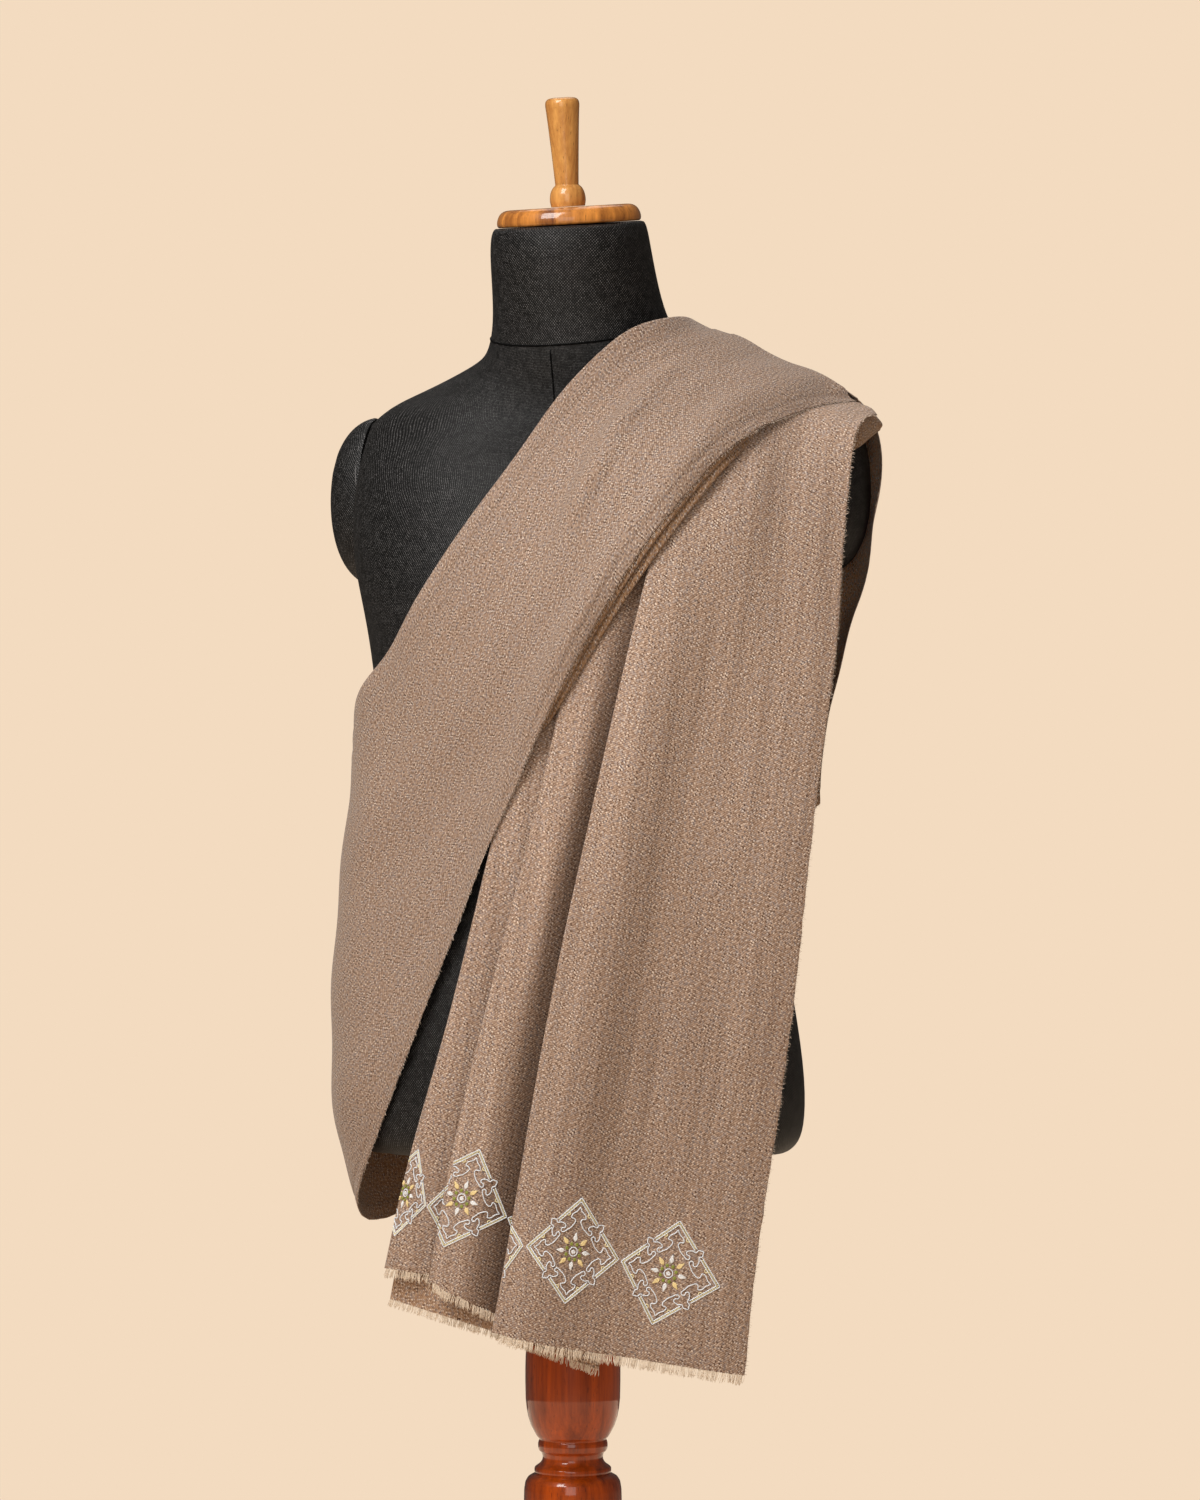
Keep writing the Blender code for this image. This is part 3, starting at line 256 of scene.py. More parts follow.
class ShawlSettings(bpy.types.PropertyGroup):
    """Sizes and colours of the shawl."""

    thickness: length("Cloth thickness", "Thickness of the woven cloth", 0.0008)
    rib_spacing: length("Twill spacing", "Distance between two twill ribs", 0.0013)
    warp: colour("Warp", "Warm taupe of the warp yarn", linear(170, 141, 120))
    weft: colour("Weft", "Paler beige of the weft yarn", linear(232, 212, 194))
    fleck: colour("Flecks", "Blue-grey fibres in the yarn", linear(152, 152, 158))
    shade: colour("Depths", "Brown between the ribs", linear(84, 60, 47))
    reverse: colour("Reverse", "Yellower brown of the cloth's back", linear(174, 132, 94))
    fringe: colour("Fringe", "Pale unwoven threads", linear(236, 217, 194))
    fringe_drop: length("Fringe length", "Length of the unwoven threads", 0.0088)
    silver: colour("Silver thread", "Grey-white outline thread", linear(240, 245, 252))
    cream: colour("Cream thread", "Yellowish border thread", linear(246, 232, 180))
    yellow: colour("Yellow thread", "Petal thread", linear(248, 222, 160))
    green: colour("Green thread", "Olive knots", linear(150, 156, 60))
    white: colour("White thread", "Petal and eye thread", linear(244, 244, 244))


class DressFormSettings(bpy.types.PropertyGroup):
    """Sizes and colours of the dress form and its stand."""

    weave_spacing: length("Cover weave", "Distance between two threads of the black cover", 0.0024)
    cover: colour("Cover", "Black cloth", linear(5, 5, 5))
    # Painted sheen: the grey of the weave's lit fibres, put into the cover's colour; it also colours the arm
    # cap's seam thread.
    glint: colour("Cover glint", "Grey lit fibres of the black cloth", linear(114, 112, 112))
    cap_light: colour("Cap, light", "Light wood of the neck cap", linear(238, 156, 70))
    cap_dark: colour("Cap, dark", "Dark grain of the neck cap", linear(108, 54, 18))
    handle_light: colour("Handle, light", "Light wood of the handle", linear(226, 166, 90))
    handle_dark: colour("Handle, dark", "Dark grain of the handle", linear(160, 98, 42))
    stand_light: colour("Stand, light", "Light wood of the stand", linear(204, 84, 4))
    stand_dark: colour("Stand, dark", "Dark grain of the stand", linear(88, 24, 1))


class StudioSettings(bpy.types.PropertyGroup):
    """The stage, its light and the camera."""

    backdrop: colour("Backdrop", "Plain pale backdrop and floor", linear(243, 219, 192))
    key_power: number("Key light", "Power of the large soft light", 54.0, "POWER")
    fill_power: number("Fill light", "Power of the weak side light", 19.0, "POWER")
    room_light: number("Room light", "Strength of the light from all round", 0.24)
    lens: number("Lens", "Focal length in millimetres", SENSOR * FOCAL / FRAME_HEIGHT, "CAMERA")
    distance: length("Camera distance", "From the post to the camera", 3.3333)
    eye_height: length("Camera height", "Of the camera over the floor", 1.0)


# ---------------------------------------------------------------- curves and grids
def steps(count):
    return np.linspace(0.0, 1.0, count)


def ease(low, high, values):
    t = np.clip((np.asarray(values, float) - low) / (high - low), 0.0, 1.0)
    return t * t * (3 - 2 * t)


def bump_at(values, centre, width):
    """A soft hump of height 1 about a centre."""
    return np.exp(-(((np.asarray(values, float) - centre) / width) ** 2))


def spline_through(marks, values, at):
    """A curve of even bend through the values at the marks, read at the given places."""
    x = np.asarray(marks, float)
    y = np.asarray(values, float).reshape(len(x), -1)
    at = np.asarray(at, float)
    h = np.diff(x)
    slope = np.diff(y, axis=0) / h[:, None]
    system, right = np.eye(len(x)), np.zeros_like(y)
    for i in range(1, len(x) - 1):
        system[i, i - 1 : i + 2] = h[i - 1], 2 * (h[i - 1] + h[i]), h[i]
        right[i] = 6 * (slope[i] - slope[i - 1])
    bend = np.linalg.solve(system, right)
    i = np.clip(np.searchsorted(x, at, side="right") - 1, 0, len(x) - 2)
    a = ((x[i + 1] - at) / h[i])[:, None]
    b = 1 - a
    bent = (a**3 - a) * bend[i] + (b**3 - b) * bend[i + 1]
    return a * y[i] + b * y[i + 1] + bent * (h[i] ** 2)[:, None] / 6


def run_along(grid, axis):
    """Distances along the rows or columns of a grid from its first point."""
    gap = np.linalg.norm(np.diff(grid, axis=axis), axis=-1)
    start = np.zeros_like(np.take(gap, [0], axis=axis))
    return np.cumsum(np.concatenate([start, gap], axis=axis), axis=axis)


def finer(grid, row_step, column_step):
    """The grid on smooth curves through its points, with points about the given steps apart."""
    for axis, step in ((0, row_step), (1, column_step)):
        marks = run_along(grid, axis).mean(axis=1 - axis)
        at = [marks[:1]]
        for low, high in zip(marks, marks[1:]):
            count = max(2, int(round((high - low) / step)))
            at.append(low + (high - low) * np.arange(1, count + 1) / count)
        at = np.concatenate(at)
        turned = np.moveaxis(grid, axis, 0)
        fine = spline_through(marks, turned.reshape(len(marks), -1), at)
        grid = np.moveaxis(fine.reshape((len(at),) + turned.shape[1:]), 0, axis)
    return grid


def unit(ways):
    return ways / (np.linalg.norm(ways, axis=-1, keepdims=True) + 1e-12)


def facing(grid):
    """The way that each point of a grid faces, as its rows and columns give it."""
    return np.cross(np.gradient(grid, axis=1), np.gradient(grid, axis=0))


def outward_of(grid, towards):
    """Unit normals of a grid, on the side that the given direction points to."""
    normal = unit(facing(grid))
    return -normal if (normal * towards).sum() < 0 else normal


def smoothed(grid, rounds, axes=(0, 1)):
    """The grid with its inner points eased towards their neighbours."""
    grid = grid.copy()
    for _ in range(rounds):
        for axis in axes:
            part = np.moveaxis(grid, axis, 0)
            part[1:-1] = (part[:-2] + 2 * part[1:-1] + part[2:]) / 4
    return grid


def packed_grid(node, columns, first_row):
    """The middle surface of a packed cloth wall, as rows and columns of points.

    The wall has two like sides of triangles and a rim of faces as wide as the wall is thick. Each side
    is read from one corner, row by row, and the two are averaged.
    """
    mesh = bmesh.new()
    mesh.from_mesh(frame["nodes"][node].data)
    bmesh.ops.remove_doubles(mesh, verts=mesh.verts, dist=MERGE)
    rim = {f for e in mesh.edges if abs(e.calc_length() - WALL) < MERGE for f in e.link_faces}
    sides, seen = [], set()
    for seed in mesh.faces:
        if seed in rim or seed in seen:
            continue
        seen.add(seed)
        side, waiting = set(seed.verts), [seed]
        while waiting:
            for edge in waiting.pop().edges:
                for face in edge.link_faces:
                    if face not in rim and face not in seen:
                        seen.add(face)
                        side.update(face.verts)
                        waiting.append(face)
        sides.append(side)
    sides.sort(key=len)
    grids = [read_side(mesh, side, columns) for side in sides[-2:]]
    mesh.free()
    for k, grid in enumerate(grids):
        if (grid[0].mean(axis=0) - grid[-1].mean(axis=0)) @ np.array(first_row, float) < 0:
            grids[k] = grid[::-1, ::-1]
    if np.abs(np.linalg.norm(grids[0] - grids[1], axis=-1) - WALL).max() > 0.0001:
        raise RuntimeError(f"the two sides of {node} don't match")
    return (grids[0] + grids[1]) / 2


def read_side(mesh, side, columns):
    """One side of a wall as an array of rows and columns."""
    faces = [f for f in mesh.faces if all(v in side for v in f.verts)]
    of_edge, count = {}, {}
    for face in faces:
        for vert in face.verts:
            count[vert] = count.get(vert, 0) + 1
        for edge in face.edges:
            of_edge.setdefault(edge, []).append(face)
    border = {}
    for edge, found in of_edge.items():
        if len(found) == 1:
            for vert in edge.verts:
                border.setdefault(vert, []).append(edge.other_vert(vert))
    corner = min((v for v in border if count[v] == 2), key=lambda v: tuple(v.co))
    for start in border[corner]:
        row = [corner, start]
        while count[row[-1]] != 1:
            row.append(next(v for v in border[row[-1]] if v is not row[-2]))
        if len(row) == columns:
            break
    rows, used = [row], set(row)

    def beyond(a, b):
        edge = next(e for e in a.link_edges if e.other_vert(a) is b)
        found = [v for f in of_edge[edge] for v in f.verts if v not in (a, b) and v not in used]
        return found[0] if found else None

    while True:
        row = rows[-1]
        later = [beyond(a, b) for a, b in zip(row, row[1:])]
        if later[0] is None:
            break
        used.update(later)
        first = beyond(row[0], later[0])
        used.add(first)
        rows.append([first] + later)
    return np.array([[tuple(v.co) for v in row] for row in rows])


def grid_of(piece):
    row = CLOTH[piece]
    return packed_grid(row["node"], row["columns"], row["first_row"])


def refined(piece, grid):
    """The grid with points as far apart as the piece's table row says."""
    return finer(grid, *[step / 1000 for step in CLOTH[piece]["steps"]])


def coarse_marks(coarse, fine, axis):
    """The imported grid's row or column that each fine row or column stands at."""
    low, high = (run_along(grid, axis).mean(axis=1 - axis) for grid in (coarse, fine))
    return np.interp(high / high[-1], low / low[-1], np.arange(len(low)))


def grid_faces(rows, columns, closed=False):
    """The four-cornered faces of a grid. A closed one joins its last column to its first."""
    i, j = np.meshgrid(np.arange(rows - 1), np.arange(columns if closed else columns - 1), indexing="ij")
    a, b = (i * columns + j).ravel(), (i * columns + (j + 1) % columns).ravel()
    return np.stack([a, b, b + columns, a + columns], axis=1)


def tree_of_grid(grid):
    """A grid, ready for rays."""
    return BVHTree.FromPolygons(grid.reshape(-1, 3).tolist(), grid_faces(*grid.shape[:2]).tolist())


def tree_of(thing):
    """A finished piece, ready for rays."""
    bpy.context.view_layer.update()
    shaped = thing.evaluated_get(bpy.context.evaluated_depsgraph_get())
    data = shaped.to_mesh()
    points = [v.co.copy() for v in data.vertices]
    tree = BVHTree.FromPolygons(points, [tuple(f.vertices) for f in data.polygons])
    shaped.to_mesh_clear()
    return tree


def first_hits(tree, rays):
    """Where rays, each a start and a way, first meet a surface."""
    hits = [tree.ray_cast(Vector(start), Vector(way)) for start, way in rays]
    return [hit[0] for hit in hits if hit[0] is not None]


def around(values):
    """Nine grids: the values, and their neighbours on every side."""
    rows, columns = values.shape
    wide = np.pad(values, 1, mode="edge")
    return [wide[a : a + rows, b : b + columns] for a in range(3) for b in range(3)]


def settle(grid, outward, trees, gap, reach=0.010, first=0):
    """The grid, eased outwards wherever it is less than the gap above what lies under it.

    Columns before the first stay as they are. The lift is spread over the points around and then
    blurred, so it rises and falls softly.
    """
    rise = np.zeros(grid.shape[:2])
    for i, j in np.ndindex(rise.shape):
        if j < first:
            continue
        start = Vector(grid[i, j] + reach * outward[i, j])
        for tree in trees:
            hit = tree.ray_cast(start, Vector(-outward[i, j]), 1.6 * reach)
            if hit[0] is not None:
                rise[i, j] = max(rise[i, j], gap + reach - hit[3])
    for _ in range(4):
        rise = np.max(around(rise), axis=0)
    for _ in range(14):
        rise = np.mean(around(rise), axis=0)
    rise *= ease(first - 1, first + 12, np.arange(grid.shape[1]))[None, :]
    return grid + rise[..., None] * outward


def ragged(grid, last, amount, seed):
    """The grid with one long edge made a little uneven, as a raw edge is."""
    grid = grid.copy()
    wave = np.random.default_rng(seed).normal(0, amount, len(grid))
    wave = (wave + np.roll(wave, 1) * 0.6) / 1.2
    edge, beside = (-1, -2) if last else (0, 1)
    grid[:, edge] += wave[:, None] * unit(grid[:, edge] - grid[:, beside])
    return grid


# ---------------------------------------------------------------- shader nodes
class Wire:
    """What a shader node puts out. Sums on it make the nodes that work them out."""

    def __init__(self, tree, socket):
        self.tree = tree
        self.socket = socket

    def calc(self, operation, *others):
        return wire(self.tree, "Math", enumerate((self, *others)), operation=operation)

    def __add__(self, other):
        return self.calc("ADD", other)

    def __sub__(self, other):
        return self.calc("SUBTRACT", other)

    def __mul__(self, other):
        return self.calc("MULTIPLY", other)

    def __truediv__(self, other):
        return self.calc("DIVIDE", other)

    def __pow__(self, other):
        return self.calc("POWER", other)


def feed(tree, made, inputs):
    """Wires and plain values, put into a node's sockets."""
    for key, value in dict(inputs).items():
        if isinstance(value, Wire):
            tree.links.new(value.socket, made.inputs[key])
        else:
            made.inputs[key].default_value = value


def node(tree, kind, inputs=(), **settings):
    made = tree.nodes.new("ShaderNode" + kind)
    for key, value in settings.items():
        setattr(made, key, value)
    feed(tree, made, inputs)
    return made


def wire(tree, kind, inputs=(), output=0, **settings):
    """One output of a new node."""
    return Wire(tree, node(tree, kind, inputs, **settings).outputs[output])


def ramp(value, low, high, to_low=0.0, to_high=1.0):
    """A value mapped evenly from one range to another, and held at its ends."""
    return wire(value.tree, "MapRange", enumerate((value, low, high, to_low, to_high)))


def mix(tree, share, first, second, blend="MIX"):
    """Two colours, mixed. Each is a wire, or red, green and blue."""
    first, second = (c if isinstance(c, Wire) else (*c, 1.0) for c in (first, second))
    inputs = ((0, share), (6, first), (7, second))
    return wire(tree, "Mix", inputs, 2, data_type="RGBA", blend_type=blend)


def banded(value, stops):
    """Colours spread along a value from 0 to 1."""
    made = node(value.tree, "ValToRGB", ((0, value),))
    elements = made.color_ramp.elements
    for _ in range(len(stops) - 2):
        elements.new(0.5)
    for element, (place, shown) in zip(elements, stops):
        element.position, element.color = place, (*shown, 1.0)
    return Wire(value.tree, made.outputs[0])


def noise(place, scale, detail=2.0, roughness=0.5, distortion=0.0):
    inputs = {"Vector": place, "Scale": scale, "Detail": detail, "Roughness": roughness}
    return wire(place.tree, "TexNoise", {**inputs, "Distortion": distortion}, "Fac")


def moved(place, amounts, operation="MULTIPLY"):
    """A place with its parts stretched, or shifted with ADD."""
    return wire(place.tree, "VectorMath", ((0, place), (1, amounts)), operation=operation)


def split(place):
    """A place's distances along X, Y and Z."""
    parted = node(place.tree, "SeparateXYZ", ((0, place),))
    return [Wire(place.tree, socket) for socket in parted.outputs]


def group(name, inputs, fill):
    """A shader node group with named sockets, made once. An input without a value is a place."""
    if name in bpy.data.node_groups:
        return bpy.data.node_groups[name]
    made = bpy.data.node_groups.new(name, "ShaderNodeTree")
    for label, value in inputs.items():
        kind = "NodeSocketVector" if value is None else "NodeSocketFloat"
        socket = made.interface.new_socket(label, in_out="INPUT", socket_type=kind)
        if value is not None:
            socket.default_value = value
    entry = made.nodes.new("NodeGroupInput")
    results = fill(*[Wire(made, entry.outputs[label]) for label in inputs])
    for label in results:
        made.interface.new_socket(label, in_out="OUTPUT", socket_type="NodeSocketFloat")
    feed(made, made.nodes.new("NodeGroupOutput"), results)
    return made


def use_group(tree, made, inputs):
    used = node(tree, "Group", inputs, node_tree=made)
    return {socket.name: Wire(tree, socket) for socket in used.outputs}


def twill():
    """Fine twill of mixed yarns at 45 degrees to the cloth's width and length, in metres.

    Every float of yarn has a chance tone of its own, and grooves part the ribs.
    """

    def chance(cell, output="Value"):
        return wire(cell.tree, "TexWhiteNoise", {"Vector": cell}, output, noise_dimensions="2D")

    def hump(value):
        """Up and down once in each whole step."""
        return (value.calc("FRACT") * math.pi).calc("SINE")

    def fill(place, spacing, streaks):
        across, along, _ = split(place)
        slope = math.sqrt(0.5)
        rib = ((across - along) * slope + noise(place, 90.0) * 0.0040) / spacing
        line = rib.calc("FLOOR")
        dash = line * 0.37 + (across + along) * slope / (spacing * 1.1)
        cell = wire(place.tree, "CombineXYZ", enumerate((line, dash.calc("FLOOR"))))
        nearby = chance(moved(cell, (1.0, 0.0, 0.0), "ADD")) + chance(moved(cell, (0.0, 1.0, 0.0), "ADD"))
        unlike = chance(cell) - nearby * 0.5
        height = hump(rib) * (hump(dash) * 0.5 + 0.5)
        green_part = wire(place.tree, "SeparateColor", ((0, chance(cell, "Color")),), 1)
        streak = noise(moved(place, (1.0, 0.03, 1.0)), 150.0, 3.0, 0.6)
        cloud = noise(place, 11.0, 3.0, 0.55)
        return {
            "Height": height,
            # Yarn: each float's own chance tone, and the ribs' height, so the grooves come darker as painted
            # shade.
            "Yarn": unlike * 0.46 + height * 0.34 + 0.30,
            "Fleck": green_part.calc("GREATER_THAN", 0.72),
            "Slub": ramp(noise(moved(place, (1.0, 0.35, 1.0)), 300.0, 1.0), 0.74, 0.80),
            "Tone": (streak - 0.5) * streaks + (cloud - 0.5) * 0.12 + 1.0,
        }

    return group("pashmina_twill", {"Cloth Place": None, "Rib Spacing": 0.0013, "Streaks": 0.3}, fill)


def cover_weave():
    """Plain weave of the black cover, wound round the form and squared to each seam."""

    def fill(place, spacing, flat):
        x, y, z = split(place)
        wobble = noise(place, 70.0) * 0.0016
        on_neck = z.calc("GREATER_THAN", y * NECK_SEAM_TILT + NECK_SEAM_Z)
        radius = on_neck * (NECK_RADIUS - TORSO_RADIUS) + TORSO_RADIUS
        wound = x.calc("ARCTAN2", y * -1.0) * radius * (flat * -1.0 + 1.0)
        level = (y + x.calc("ABSOLUTE")) * 0.9 * flat
        ways = (wound + level + wobble, z + wobble)
        warp, weft = ((way / spacing * (2 * math.pi)).calc("SINE") for way in ways)
        weave = weft * warp * 0.5 + 0.5
        grain = noise(place, 700.0, 2.0, 0.6)
        patch = ramp(noise(place, 160.0, 3.0, 0.6), 0.30, 0.70, 0.35, 1.3)
        return {
            "Height": grain * 0.5 + weave,
            # Glint: painted sheen, grey dots on the weave's crossings in random patches.
            "Glint": ramp(weave, 0.58, 0.94) * ramp(grain, 0.34, 0.60) * patch,
            "Lint": ramp(noise(place, 520.0, 2.0, 0.8), 0.74, 0.77),
        }

    return group("cover_weave", {"Place": None, "Thread Spacing": 0.0024, "Flat": 0.0}, fill)


def wood_grain():
    """Long grain, darker figure and short pores of turned wood."""

    def fill(place, scale):
        bent = noise(moved(place, (1.0, 1.0, 0.25)), 22.0)
        figure = noise(moved(place, (1.0, 1.0, 0.10)), scale, 5.0, 0.62, 0.6)
        lines = noise(moved(place, (1.0, 1.0, 0.035)), scale * 5.0, 4.0, 0.7)
        return {
            "Grain": ramp(bent * 0.22 + figure * 0.62 + lines * 0.38, 0.44, 0.78),
            "Pores": ramp(noise(moved(place, (1.0, 1.0, 0.12)), 900.0, 2.0, 0.6), 0.64, 0.72),
        }

    return group("turned_wood_grain", {"Place": None, "Figure Scale": 60.0}, fill)


def new_material(name):
    made = bpy.data.materials.new(name)
    made.use_nodes = True
    return made, made.node_tree, made.node_tree.nodes["Principled BSDF"]


def finish(tree, shader, looks, height, distance, strength):
    """The shader's looks, and a bump from a height pattern."""
    bump = wire(tree, "Bump", {"Height": height, "Distance": distance, "Strength": strength})
    feed(tree, shader, {**looks, "Normal": bump})


def wool_material(name, base, streaks, dim=1.0):
    """The pashmina cloth: taupe twill of mixed yarns with a soft nap."""
    s = bpy.context.scene.shawl
    made, tree, shader = new_material(name)
    place = wire(tree, "TexCoord", output="UV")
    cloth = use_group(tree, twill(), {"Cloth Place": place, "Rib Spacing": s.rib_spacing, "Streaks": streaks})

    # Each piece's dim gives a lighter or darker copy of the cloth: painted light and shade for where the piece
    # lies.
    def dimmed(shown):
        return [min(0.95, c * dim) for c in shown]

    stops = ((0.0, s.shade), (0.14, s.shade), (0.47, base), (0.56, base), (0.95, s.weft), (1.0, s.weft))
    tint = banded(cloth["Yarn"], [(at, dimmed(shown)) for at, shown in stops])
    tint = mix(tree, cloth["Fleck"] * 0.26, tint, dimmed(s.fleck))
    tint = mix(tree, cloth["Slub"] * 0.6, tint, s.shade)
    # The piece's tone, with its painted shade of folds and creases, darkens the colour, more in green and blue.
    painted_shade_and_tone = wire(tree, "Attribute", output="Fac", attribute_name="painted_shade_tone") * cloth["Tone"]
    reddened_shade_and_tone = wire(tree, "CombineColor", enumerate((painted_shade_and_tone, painted_shade_and_tone**1.12, painted_shade_and_tone**1.22)))
    looks = {
        "Base Color": mix(tree, 1.0, tint, reddened_shade_and_tone, "MULTIPLY"),
        "Roughness": 0.88,
        "Specular IOR Level": 0.25,
        "Sheen Weight": 0.18,
        "Sheen Roughness": 0.42,
        "Sheen Tint": (1.0, 0.94, 0.88, 1.0),
    }
    finish(tree, shader, looks, cloth["Height"], distance=0.0004, strength=0.5)
    return made


def thread_material(name, base, roughness):
    """A twisted embroidery or fringe yarn."""
    made, tree, shader = new_material(name)
    twist = noise(wire(tree, "TexCoord", output="Object"), 1500.0, 2.0, 0.6)
    tint = mix(tree, ramp(twist, 0.30, 0.55), [c * 0.84 for c in base], base)
    looks = {"Base Color": tint, "Roughness": roughness, "Sheen Weight": 0.15}
    finish(tree, shader, looks, twist, distance=0.0001, strength=0.4)
    return made


def plain_material(name, base, roughness):
    """Thin sewing thread, too fine for a pattern of its own."""
    made, tree, shader = new_material(name)
    feed(tree, shader, {"Base Color": (*base, 1.0), "Roughness": roughness, "Specular IOR Level": 0.1})
    return made


def cover_material(name, flat=0.0):
    """The black woven cover of the form."""
    s = bpy.context.scene.dress_form
    made, tree, shader = new_material(name)
    place = wire(tree, "TexCoord", output="Object")
    cloth = use_group(tree, cover_weave(), {"Place": place, "Thread Spacing": s.weave_spacing, "Flat": flat})
    # Painted sheen: the glint grey over the black.
    tint = mix(tree, ramp(cloth["Glint"], 0.0, 1.0), s.cover, s.glint)
    tint = mix(tree, cloth["Lint"] * 0.6, tint, (0.34, 0.33, 0.32))
    looks = {"Base Color": tint, "Roughness": 0.5, "Specular IOR Level": 0.28}
    finish(tree, shader, looks, cloth["Height"], distance=0.0004, strength=0.7)
    return made


def wood_material(name, light, dark, figure, coat):
    """Turned wood under clear lacquer."""
    made, tree, shader = new_material(name)
    place = wire(tree, "TexCoord", output="Object")
    wood = use_group(tree, wood_grain(), {"Place": place, "Figure Scale": figure})
    tint = mix(tree, wood["Grain"], light, dark)
    looks = {
        "Base Color": mix(tree, wood["Pores"] * 0.6, tint, [c * 0.35 for c in dark]),
        "Roughness": ramp(wood["Grain"], 0.0, 1.0, 0.32, 0.46),
        "Specular IOR Level": 0.25,
        "Coat Weight": coat,
        "Coat Roughness": 0.09,
    }
    finish(tree, shader, looks, wood["Grain"], distance=0.0003, strength=0.25)
    return made


# ---------------------------------------------------------------- making pieces
def placed(name, data):
    thing = bpy.data.objects.new(name, data)
    bpy.context.scene.collection.objects.link(thing)
    return thing


def mesh_of(name, made):
    """The finished mesh of a bmesh."""
    data = bpy.data.meshes.new(name)
    made.to_mesh(data)
    made.free()
    return data


def finish_piece(thing, nodes):
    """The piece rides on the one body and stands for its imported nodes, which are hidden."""
    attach(thing, "root")
    if nodes:
        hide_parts(*nodes)
    return thing


def new_piece(name, data, materials, nodes):
    for made in materials:
        data.materials.append(made)
    data.shade_smooth()
    return finish_piece(placed(name, data), nodes)


def cloth_piece(name, grid, materials, outward, tone=None):
    """A thin shell of cloth on a grid, with its width and length as UV and a tone of painted fold and crease
    shade and other marks.
    """
    GRIDS[name] = grid
    faces = grid_faces(*grid.shape[:2])
    if (outward_of(grid, outward) * facing(grid)).sum() < 0:
        faces = faces[:, ::-1]
    data = bpy.data.meshes.new(name)
    data.from_pydata(grid.reshape(-1, 3).tolist(), [], faces.tolist())
    place = np.stack([run_along(grid, 1), run_along(grid, 0)], axis=-1).reshape(-1, 2)
    layer = data.uv_layers.new(name="cloth")
    corners = np.zeros(len(data.loops), dtype=np.int32)
    data.loops.foreach_get("vertex_index", corners)
    layer.data.foreach_set("uv", place[corners].astype(np.float32).ravel())
    tone = np.ones(grid.shape[:2]) if tone is None else tone
    shade = data.attributes.new("painted_shade_tone", "FLOAT", "POINT")
    shade.data.foreach_set("value", tone.astype(np.float32).ravel())
    packed = CLOTH[name]["node"]
    thing = new_piece(name, data, materials, [packed] if packed else [])
    wall = thing.modifiers.new("cloth", "SOLIDIFY")
    wall.thickness = bpy.context.scene.shawl.thickness
    wall.offset = 0.0
    wall.material_offset = len(materials) - 1
    even = thing.modifiers.new("even_shading", "WEIGHTED_NORMAL")
    even.weight = 100


def turned_piece(name, profile, segments, material, node_name, tilted=False):
    """A turned piece of wood: its profile with softened corners, spun round the post's axis."""
    line = np.array(profile) / 1000
    for _ in range(2):
        kept = [line[0]]
        for a, b, c in zip(line, line[1:], line[2:]):
            for other in (a, c):
                kept.append(b + (other - b) * min(0.25, ROUNDING / np.linalg.norm(other - b)))
        line = np.array(kept + [line[-1]])
    mesh = bmesh.new()
    verts = [mesh.verts.new((r, 0.0, z)) for r, z in line]
    edges = [mesh.edges.new(pair) for pair in zip(verts, verts[1:])]
    whole = {"angle": 2 * math.pi, "steps": segments, "use_merge": True}
    bmesh.ops.spin(mesh, geom=verts + edges, cent=(0, 0, 0), axis=(0, 0, 1), **whole)
    bmesh.ops.remove_doubles(mesh, verts=mesh.verts, dist=0.000001)
    bmesh.ops.recalc_face_normals(mesh, faces=mesh.faces)
    if tilted:
        tilt = Matrix.Rotation(math.radians(NECK_TILT_DEG), 3, "X")
        bmesh.ops.rotate(mesh, cent=(0, 0, 0), matrix=tilt, verts=mesh.verts)
        bmesh.ops.translate(mesh, vec=NECK_TOP, verts=mesh.verts)
    data = mesh_of(name, mesh)
    new_piece(name, data, [material], [node_name])
    data.set_sharp_from_angle(angle=math.radians(50))


def covered_piece(name, node_name, material):
    """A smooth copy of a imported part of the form."""
    mesh = bmesh.new()
    mesh.from_mesh(frame["nodes"][node_name].data)
    bmesh.ops.remove_doubles(mesh, verts=mesh.verts, dist=MERGE)
    bmesh.ops.join_triangles(
        mesh, faces=mesh.faces, angle_face_threshold=math.radians(30), angle_shape_threshold=math.radians(50)
    )
    crease = mesh.edges.layers.float.new("crease_edge")
    for edge in mesh.edges:
        edge.smooth = edge.calc_face_angle(0.0) < math.radians(42)
        edge[crease] = 0.0 if edge.smooth else 0.9
    for face in mesh.faces:
        face.smooth = True
    data = mesh_of(name, mesh)
    data.materials.append(material)
    thing = placed(name, data)
    soft = thing.modifiers.new("rounded", "SUBSURF")
    soft.levels = soft.render_levels = 2
    return finish_piece(thing, [node_name])


def thread_piece(name, lines, material, radius, node_names=()):
    """Threads laid along lines of points, as one mesh of round strands."""
    sides = 5
    angle = np.arange(sides)[:, None] * 2 * math.pi / sides
    points, faces, total = [], [], 0
    for line in lines:
        line = np.asarray(line, float)
        if len(line) < 2:
            continue
        way = unit(np.gradient(line, axis=0))
        side = unit(np.cross(way, (0.31, -0.87, 0.38)))
        swell = 1 + 0.16 * np.sin(np.arange(len(line)) * 2.1)
        swell[0] = swell[-1] = 0.55
        ring = np.cos(angle) * side[:, None] + np.sin(angle) * np.cross(side, way)[:, None]
        points.append((line[:, None] + radius * swell[:, None, None] * ring).reshape(-1, 3))
        faces += (total + grid_faces(len(line), sides, closed=True)[:, (0, 3, 2, 1)]).tolist()
        cap = total + np.arange(sides)
        faces += [cap.tolist(), (cap[::-1] + (len(line) - 1) * sides).tolist()]
        total += len(line) * sides
    data = bpy.data.meshes.new(name)
    data.from_pydata(np.concatenate(points).tolist(), [], faces)
    new_piece(name, data, [material], list(node_names))


